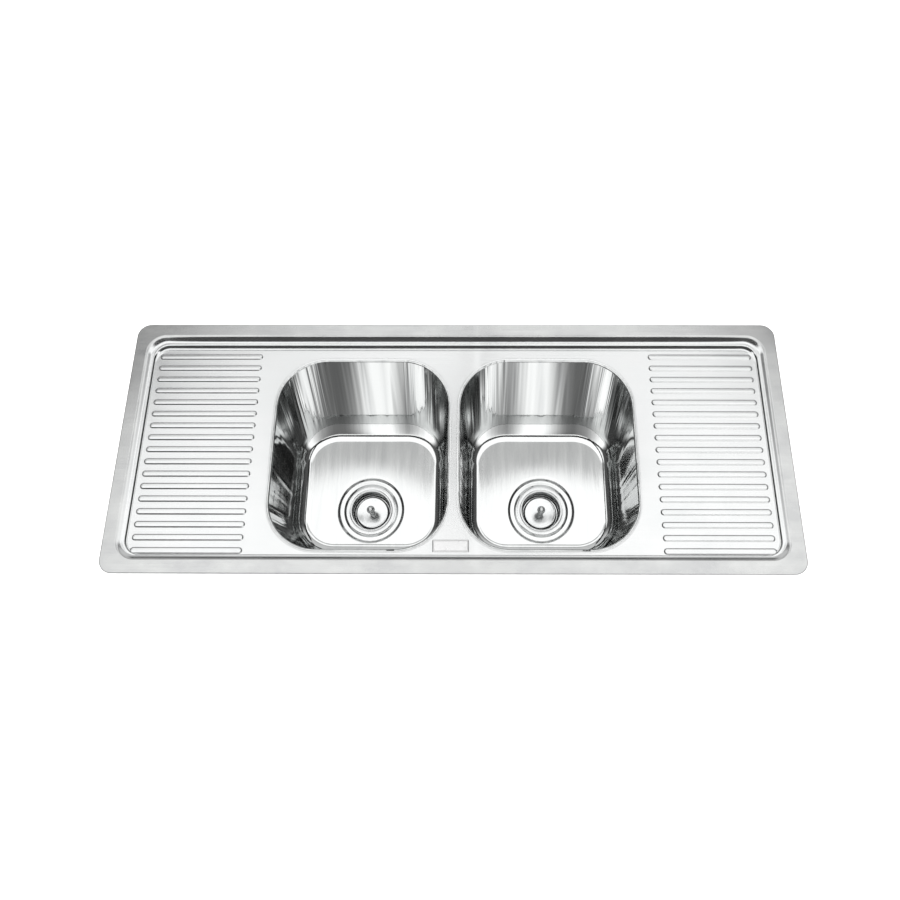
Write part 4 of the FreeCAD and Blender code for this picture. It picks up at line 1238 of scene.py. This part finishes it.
def deck_steel():
    """Satin sheet with a faint lengthwise polish; the raised rim's colour is greyer, which is painted shade.
    """
    s = Shader("deck_steel")
    place = s.split(s.place.outputs["Object"])
    painted_rim_shade = s.remap(place[2], 0.0022, 0.0036)
    mottle = s.noise(s.stretched(5, 9, 5), 2.0, 4, 0.55)
    polish = s.noise(s.stretched(3, 700, 3), 1.0, 4, 0.6)
    base = s.mix(s.spread(mottle), (0.60, 0.61, 0.61), (0.66, 0.665, 0.665))
    # Painted shade: the rim is the same steel as the deck, given a darker grey colour.
    rim = s.mix(s.remap(mottle, 0.35, 0.65), (0.44, 0.445, 0.445), (0.54, 0.545, 0.54))
    rough = s.math("ADD", s.spread(polish, 0.13, 0.20), s.spread(mottle, 0.0, 0.05))
    s.set(base_color=s.mix(painted_rim_shade, base, rim), metallic=1.0, roughness=rough)
    s.bump(s.noise(s.stretched(4, 4, 4), 1.0, 2, 0.4), 0.0012)
    s.bump(polish, 0.000004)
    return s.material


def bowl_steel():
    """Drawn steel: streaks down the walls, finer ones along the floor; the walls' colour is also darker than
    the floor's, which is painted shade.
    """
    s = Shader("bowl_steel")
    height = s.split(s.place.outputs["Object"])[2]
    on_wall = s.remap(height, BOWL_FLOOR_Z + 0.012, BOWL_FLOOR_Z + 0.045)
    wall_draw = s.noise(s.stretched(52, 1.2, 1, source="UV"), 1.0, 2, 0.6, 0.6)
    wall_fine = s.noise(s.stretched(500, 4, 1, source="UV"), 1.0, 3, 0.6)
    floor_draw = s.noise(s.stretched(55, 5, 5), 1.0, 4, 0.6, 0.3)
    floor_fine = s.noise(s.stretched(900, 25, 25), 1.0, 3, 0.6)
    draw = s.blend(on_wall, floor_draw, wall_draw)
    fine = s.blend(on_wall, floor_fine, wall_fine)
    cloud = s.noise(s.stretched(7, 7, 7), 1.0, 3, 0.5)
    tone = s.spread(draw)
    # Wall colour: the streaks are the steel's own, but the range darker than the floor's is painted shade.
    wall_streaks_and_painted_shade = s.mix(tone, (0.46, 0.47, 0.47), (0.64, 0.65, 0.645))
    floor_tone = s.mix(tone, (0.60, 0.61, 0.61), (0.69, 0.70, 0.695))
    rough = s.math("ADD", s.spread(draw, 0.04, 0.08), s.spread(cloud, 0.0, 0.03))
    s.set(base_color=s.mix(on_wall, floor_tone, wall_streaks_and_painted_shade), metallic=1.0, roughness=rough)
    s.bump(s.math("MULTIPLY", draw, s.remap(on_wall, 0, 1, 0.10, 1.0)), 0.0013)
    s.bump(fine, 0.00001)
    return s.material


def turned_steel(name, dark, light, rough):
    """Steel with fine lathe lines along its profile."""
    s = Shader(name)
    rings = s.noise(s.stretched(0.5, 1500, 1, source="UV"), 1.0, 3, 0.6)
    smudge = s.noise(s.stretched(60, 60, 60), 1.0, 4, 0.6)
    shine = s.math("ADD", s.spread(rings, rough, rough + 0.06), s.spread(smudge, 0, 0.04))
    s.set(base_color=s.mix(s.spread(smudge), dark, light), metallic=1.0, roughness=shine)
    s.bump(rings, 0.00001)
    return s.material


def plain_metal(name, dark, light, rough, spangle):
    """Cloudy plated metal, with crystals of zinc if spangle is set."""
    s = Shader(name)
    tone = s.spread(s.noise(s.stretched(40, 40, 40), 1.0, 4, 0.6))
    if spangle:
        flakes = s.node("TexVoronoi", vector=s.stretched(1, 1, 1), scale=spangle).outputs["Color"]
        tone = s.math("ADD", s.math("MULTIPLY", s.split(flakes)[0], 0.7), s.math("MULTIPLY", tone, 0.3))
    shine = s.math("ADD", rough, s.math("MULTIPLY", tone, 0.12))
    s.set(base_color=s.mix(tone, dark, light), metallic=1.0, roughness=shine)
    s.bump(s.noise(s.stretched(METAL_GRAIN, METAL_GRAIN, METAL_GRAIN), 1.0, 2, 0.6), 0.00002)
    return s.material


def plain_moulded(name, dark, light, rough, grain, depth):
    """Plastic, rubber, foam or fibre with pores of that grain and depth."""
    s = Shader(name)
    cloud = s.noise(s.stretched(30, 30, 30), 1.0, 4, 0.6)
    pores = s.noise(s.stretched(grain, grain, grain), 1.0, 3, 0.6)
    s.set(base_color=s.mix(s.spread(cloud), dark, light))
    s.set(roughness=s.math("ADD", rough, s.spread(pores, 0.0, 0.15)))
    s.bump(pores, depth)
    return s.material


def make_paints():
    """Every material of the object, by name."""
    paints = {"deck_steel": deck_steel(), "bowl_steel": bowl_steel()}
    for maker, rows in ((turned_steel, TURNED_STEELS), (plain_metal, PLAIN_METALS), (plain_moulded, MOULDED)):
        for row in rows:
            paints[row[0]] = maker(*row)
    return paints


# ---------------------------------------------------------------- studio
def make_world():
    """Soft studio: white overhead, a window in front, dark low down. Only glossy rays see it;
    everything else sees plain soft white."""
    world = bpy.data.worlds.new("studio")
    bpy.context.scene.world = world
    world.use_nodes = True
    tree = world.node_tree
    tree.nodes.clear()

    def new(kind, *inputs):
        node = tree.nodes.new(kind)
        for socket, value in zip(node.inputs, inputs):
            if isinstance(value, bpy.types.NodeSocket):
                tree.links.new(value, socket)
            elif value is not None:
                socket.default_value = value
        return node

    def rise(value, low, high):
        node = new("ShaderNodeMapRange", value, low, high, 0.0, 1.0)
        node.interpolation_type = "SMOOTHSTEP"
        return node.outputs["Result"]

    def combine(operation, first, *others):
        for other in others or (0.0,):
            node = new("ShaderNodeMath", first, other)
            node.operation = operation
            first = node.outputs[0]
        return first

    place = new("ShaderNodeTexCoord")
    axes = new("ShaderNodeSeparateXYZ", place.outputs["Generated"])
    x, y, z = axes.outputs
    wide = combine("ABSOLUTE", x)
    overhead = combine("MULTIPLY", rise(z, *OVERHEAD_RISE), OVERHEAD_LEVEL)
    window = combine("MULTIPLY", rise(y, *WINDOW_FRONT), rise(wide, *WINDOW_WIDTH), rise(z, *WINDOW_LOW))
    window = combine("MULTIPLY", window, WINDOW_LEVEL)
    fill = combine("MULTIPLY", rise(x, *FILL_SIDE), rise(y, *FILL_FRONT), rise(z, *FILL_LOW))
    fill = combine("MULTIPLY", fill, rise(z, *FILL_HIGH), FILL_LEVEL)
    back = combine("MULTIPLY", rise(y, *BACK_RISE), rise(z, *BACK_LOW), BACK_LEVEL)
    low = combine("MULTIPLY", rise(z, *LOW_RISE), LOW_LEVEL)
    ground = combine("MULTIPLY", rise(z, *GROUND_FALL), GROUND_LEVEL)
    across = combine("ABSOLUTE", combine("ADD", x, -FLAG_MIDDLE))
    across = combine("ABSOLUTE", combine("SUBTRACT", across, FLAG_SPREAD))
    arch = combine("ADD", combine("MULTIPLY", across, across, FLAG_ARCH), y)
    flag = combine("MULTIPLY", rise(arch, *FLAG_FRONT), rise(across, *FLAG_WIDTH), rise(y, *FLAG_BACK))
    flag = combine("MULTIPLY", flag, FLAG_DEPTH)
    overhead = combine("MULTIPLY", overhead, combine("SUBTRACT", 1.0, flag))
    total = combine("MAXIMUM", overhead, window, fill, back, ground)
    total = combine("ADD", total, low, DARKEST)
    studio = new("ShaderNodeBackground", total)
    plain = new("ShaderNodeBackground", (1, 1, 1, 1), PLAIN_LEVEL)
    rays = new("ShaderNodeLightPath")
    mix = new("ShaderNodeMixShader", rays.outputs["Is Glossy Ray"], plain.outputs[0], studio.outputs[0])
    new("ShaderNodeOutputWorld", mix.outputs[0])


def flat_corners(x0, x1, y0, y1, z):
    return [(x0, y0, z), (x1, y0, z), (x1, y1, z), (x0, y1, z)]


def upright_corners(start, end, z0, z1):
    """An upright rectangle on the line from start to end. It faces +Y if the line runs towards +X."""
    return [(*start, z0), (*start, z1), (*end, z1), (*end, z0)]


def rectangle(name, corners):
    mesh = bpy.data.meshes.new(name)
    mesh.from_pydata(corners, [], [(0, 1, 2, 3)])
    return link(name, mesh)


def make_card(name, corners, level, one_sided=False, fades=False):
    """A flat card that only reflections see. A one-sided card shows only its front.
    A fading card is bright in the middle of its length and dim at its two ends."""
    card = rectangle(name, corners)
    paint = bpy.data.materials.new(name)
    paint.use_nodes = True
    nodes, join = paint.node_tree.nodes, paint.node_tree.links.new
    nodes.clear()
    glow = nodes.new("ShaderNodeEmission")
    glow.inputs["Color"].default_value = (level, level, level, 1)
    if fades:
        place = nodes.new("ShaderNodeTexCoord")
        wave = nodes.new("ShaderNodeTexGradient")
        shift = nodes.new("ShaderNodeMapping")
        shift.inputs["Location"].default_value = (-1.0, 0, 0)
        shift.inputs["Scale"].default_value = (2.0, 0, 0)
        wave.gradient_type = "QUADRATIC_SPHERE"
        strength = nodes.new("ShaderNodeMapRange")
        strength.interpolation_type = "SMOOTHSTEP"
        strength.inputs["From Max"].default_value = CARD_FADE
        strength.inputs["To Min"].default_value = CARD_DIM
        join(place.outputs["Generated"], shift.inputs["Vector"])
        join(shift.outputs[0], wave.inputs["Vector"])
        join(wave.outputs[1], strength.inputs["Value"])
        join(strength.outputs[0], glow.inputs["Strength"])
    out = nodes.new("ShaderNodeOutputMaterial")
    join(glow.outputs[0], out.inputs["Surface"])
    if one_sided:
        clear = nodes.new("ShaderNodeBsdfTransparent")
        side = nodes.new("ShaderNodeNewGeometry")
        pick = nodes.new("ShaderNodeMixShader")
        for source, socket in ((side.outputs["Backfacing"], 0), (glow.outputs[0], 1), (clear.outputs[0], 2)):
            join(source, pick.inputs[socket])
        join(pick.outputs[0], out.inputs["Surface"])
    card.data.materials.append(paint)
    card.visible_camera = False
    card.visible_diffuse = False
    card.visible_shadow = False
    card.visible_transmission = False


def make_cards():
    make_card("camera_card", flat_corners(*CAMERA_CARD), CAMERA_CARD_LEVEL)
    make_card("step_card", upright_corners(*STEP_CARD), STEP_CARD_LEVEL, True)
    for name, (y0, y1), (z0, z1) in CENTRE_FLAGS:
        corners = upright_corners((CENTRE_FLAG_X, y0), (CENTRE_FLAG_X, y1), z0, z1)
        make_card(name, corners, CENTRE_FLAG_LEVEL)
    for side, name in SIDES:
        ends = [(side * DRAIN_X + half, BOWL_CARD_Y) for half in (-BOWL_CARD_HALF, BOWL_CARD_HALF)]
        make_card(name + "_bowl_card", upright_corners(*ends, *BOWL_CARD_Z), BOWL_CARD_LEVEL, True, True)


def make_floor():
    """Pale floor at the foot of the outlet pipes, lit by its own lamp."""
    floor = rectangle("floor", flat_corners(-FLOOR_HALF, FLOOR_HALF, -FLOOR_HALF, FLOOR_HALF, cad_box[0][2]))
    s = Shader("pale_floor")
    s.set(base_color=(FLOOR_TONE, FLOOR_TONE, FLOOR_TONE, 1), roughness=0.9)
    floor.data.materials.append(s.material)
    floor.visible_glossy = False
    floor.visible_diffuse = False
    lamp = bpy.data.lights.new("floor_light", "AREA")
    lamp.size = LAMP_SIZE
    lamp.energy = LAMP_ENERGY
    lamp.use_shadow = False
    light = link("floor_light", lamp)
    light.location = (0, 0, LAMP_HEIGHT)
    light.visible_glossy = False
    lit = bpy.data.collections.new("floor_only")
    lit.objects.link(floor)
    light.light_linking.receiver_collection = lit


def make_camera():
    lens = bpy.data.cameras.new("camera")
    lens.lens = CAMERA_LENS
    lens.sensor_width = SENSOR
    lens.shift_x, lens.shift_y = CAMERA_SHIFT
    lens.clip_end = 100.0
    camera = link("camera", lens)
    camera.location = CAMERA_PLACE
    camera.rotation_euler = [math.radians(a) for a in CAMERA_TURN]
    bpy.context.scene.camera = camera


def set_view():
    view = bpy.context.scene.view_settings
    view.view_transform = "Standard"
    view.look = "None"


# ---------------------------------------------------------------- everything
def settle(piece, body, node):
    """The piece rides on the body and stands for the node, whose CAD part is hidden.
    The frame has materials of the same names, so Blender adds a number to the new ones."""
    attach(piece, body)
    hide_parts(node)


def make_side(side, name, paints):
    """The bowl, waste and basket of one side, and what clamps them."""
    basket_unit = name + "_basket_unit"
    for maker, node, body, paint in (
        (make_bowl, "bowl", "sink", "bowl_steel"),
        (make_strainer_body, "strainer_body", "sink", "waste_steel"),
        (make_drain_seal, "drain_seal", "sink", "black_rubber"),
        (make_basket, "basket", basket_unit, "waste_steel"),
        (make_cover, "basket_cover", basket_unit, "waste_steel"),
        (make_stopper, "basket_stopper", basket_unit, "black_rubber"),
        (make_post, "basket_post", basket_unit, "knob_chrome"),
    ):
        settle(maker(side, name, paints[paint]), body, name + "_" + node)
    for node, paint, width in SIDE_PIECES:
        settle(softened(name + "_" + node, paints[paint], width), "sink", name + "_" + node)


def make_clips(material):
    """A jaw and a threaded screw in each of the rim's clips."""
    pattern = clip_screw_mesh(material)
    for node in [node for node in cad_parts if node.endswith("_clip_screw")]:
        clip = node.removesuffix("_clip_screw")
        settle(softened(clip + "_clip_jaw", material, JAW_WIDTH), clip + "_jaw", clip + "_clip_jaw")
        low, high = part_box(node)
        screw = link(clip + "_screw_threaded", pattern)
        screw.location = ((low[0] + high[0]) / 2, (low[1] + high[1]) / 2, 0)
        settle(screw, clip + "_screw", node)


def main():
    set_view()
    make_camera()
    make_world()
    make_floor()
    make_cards()
    paints = make_paints()
    settle(make_deck(paints["deck_steel"]), "sink", "sink_deck")
    settle(make_badge(paints["badge_metal"]), "sink", "badge_plate")
    settle(make_hose(paints["hose_plastic"]), "sink", "overflow_hose")
    for node, paint, width in SINK_PIECES:
        settle(softened(node, paints[paint], width), "sink", node)
    for side, name in SIDES:
        make_side(side, name, paints)
    make_clips(paints["zinc_steel"])


main()
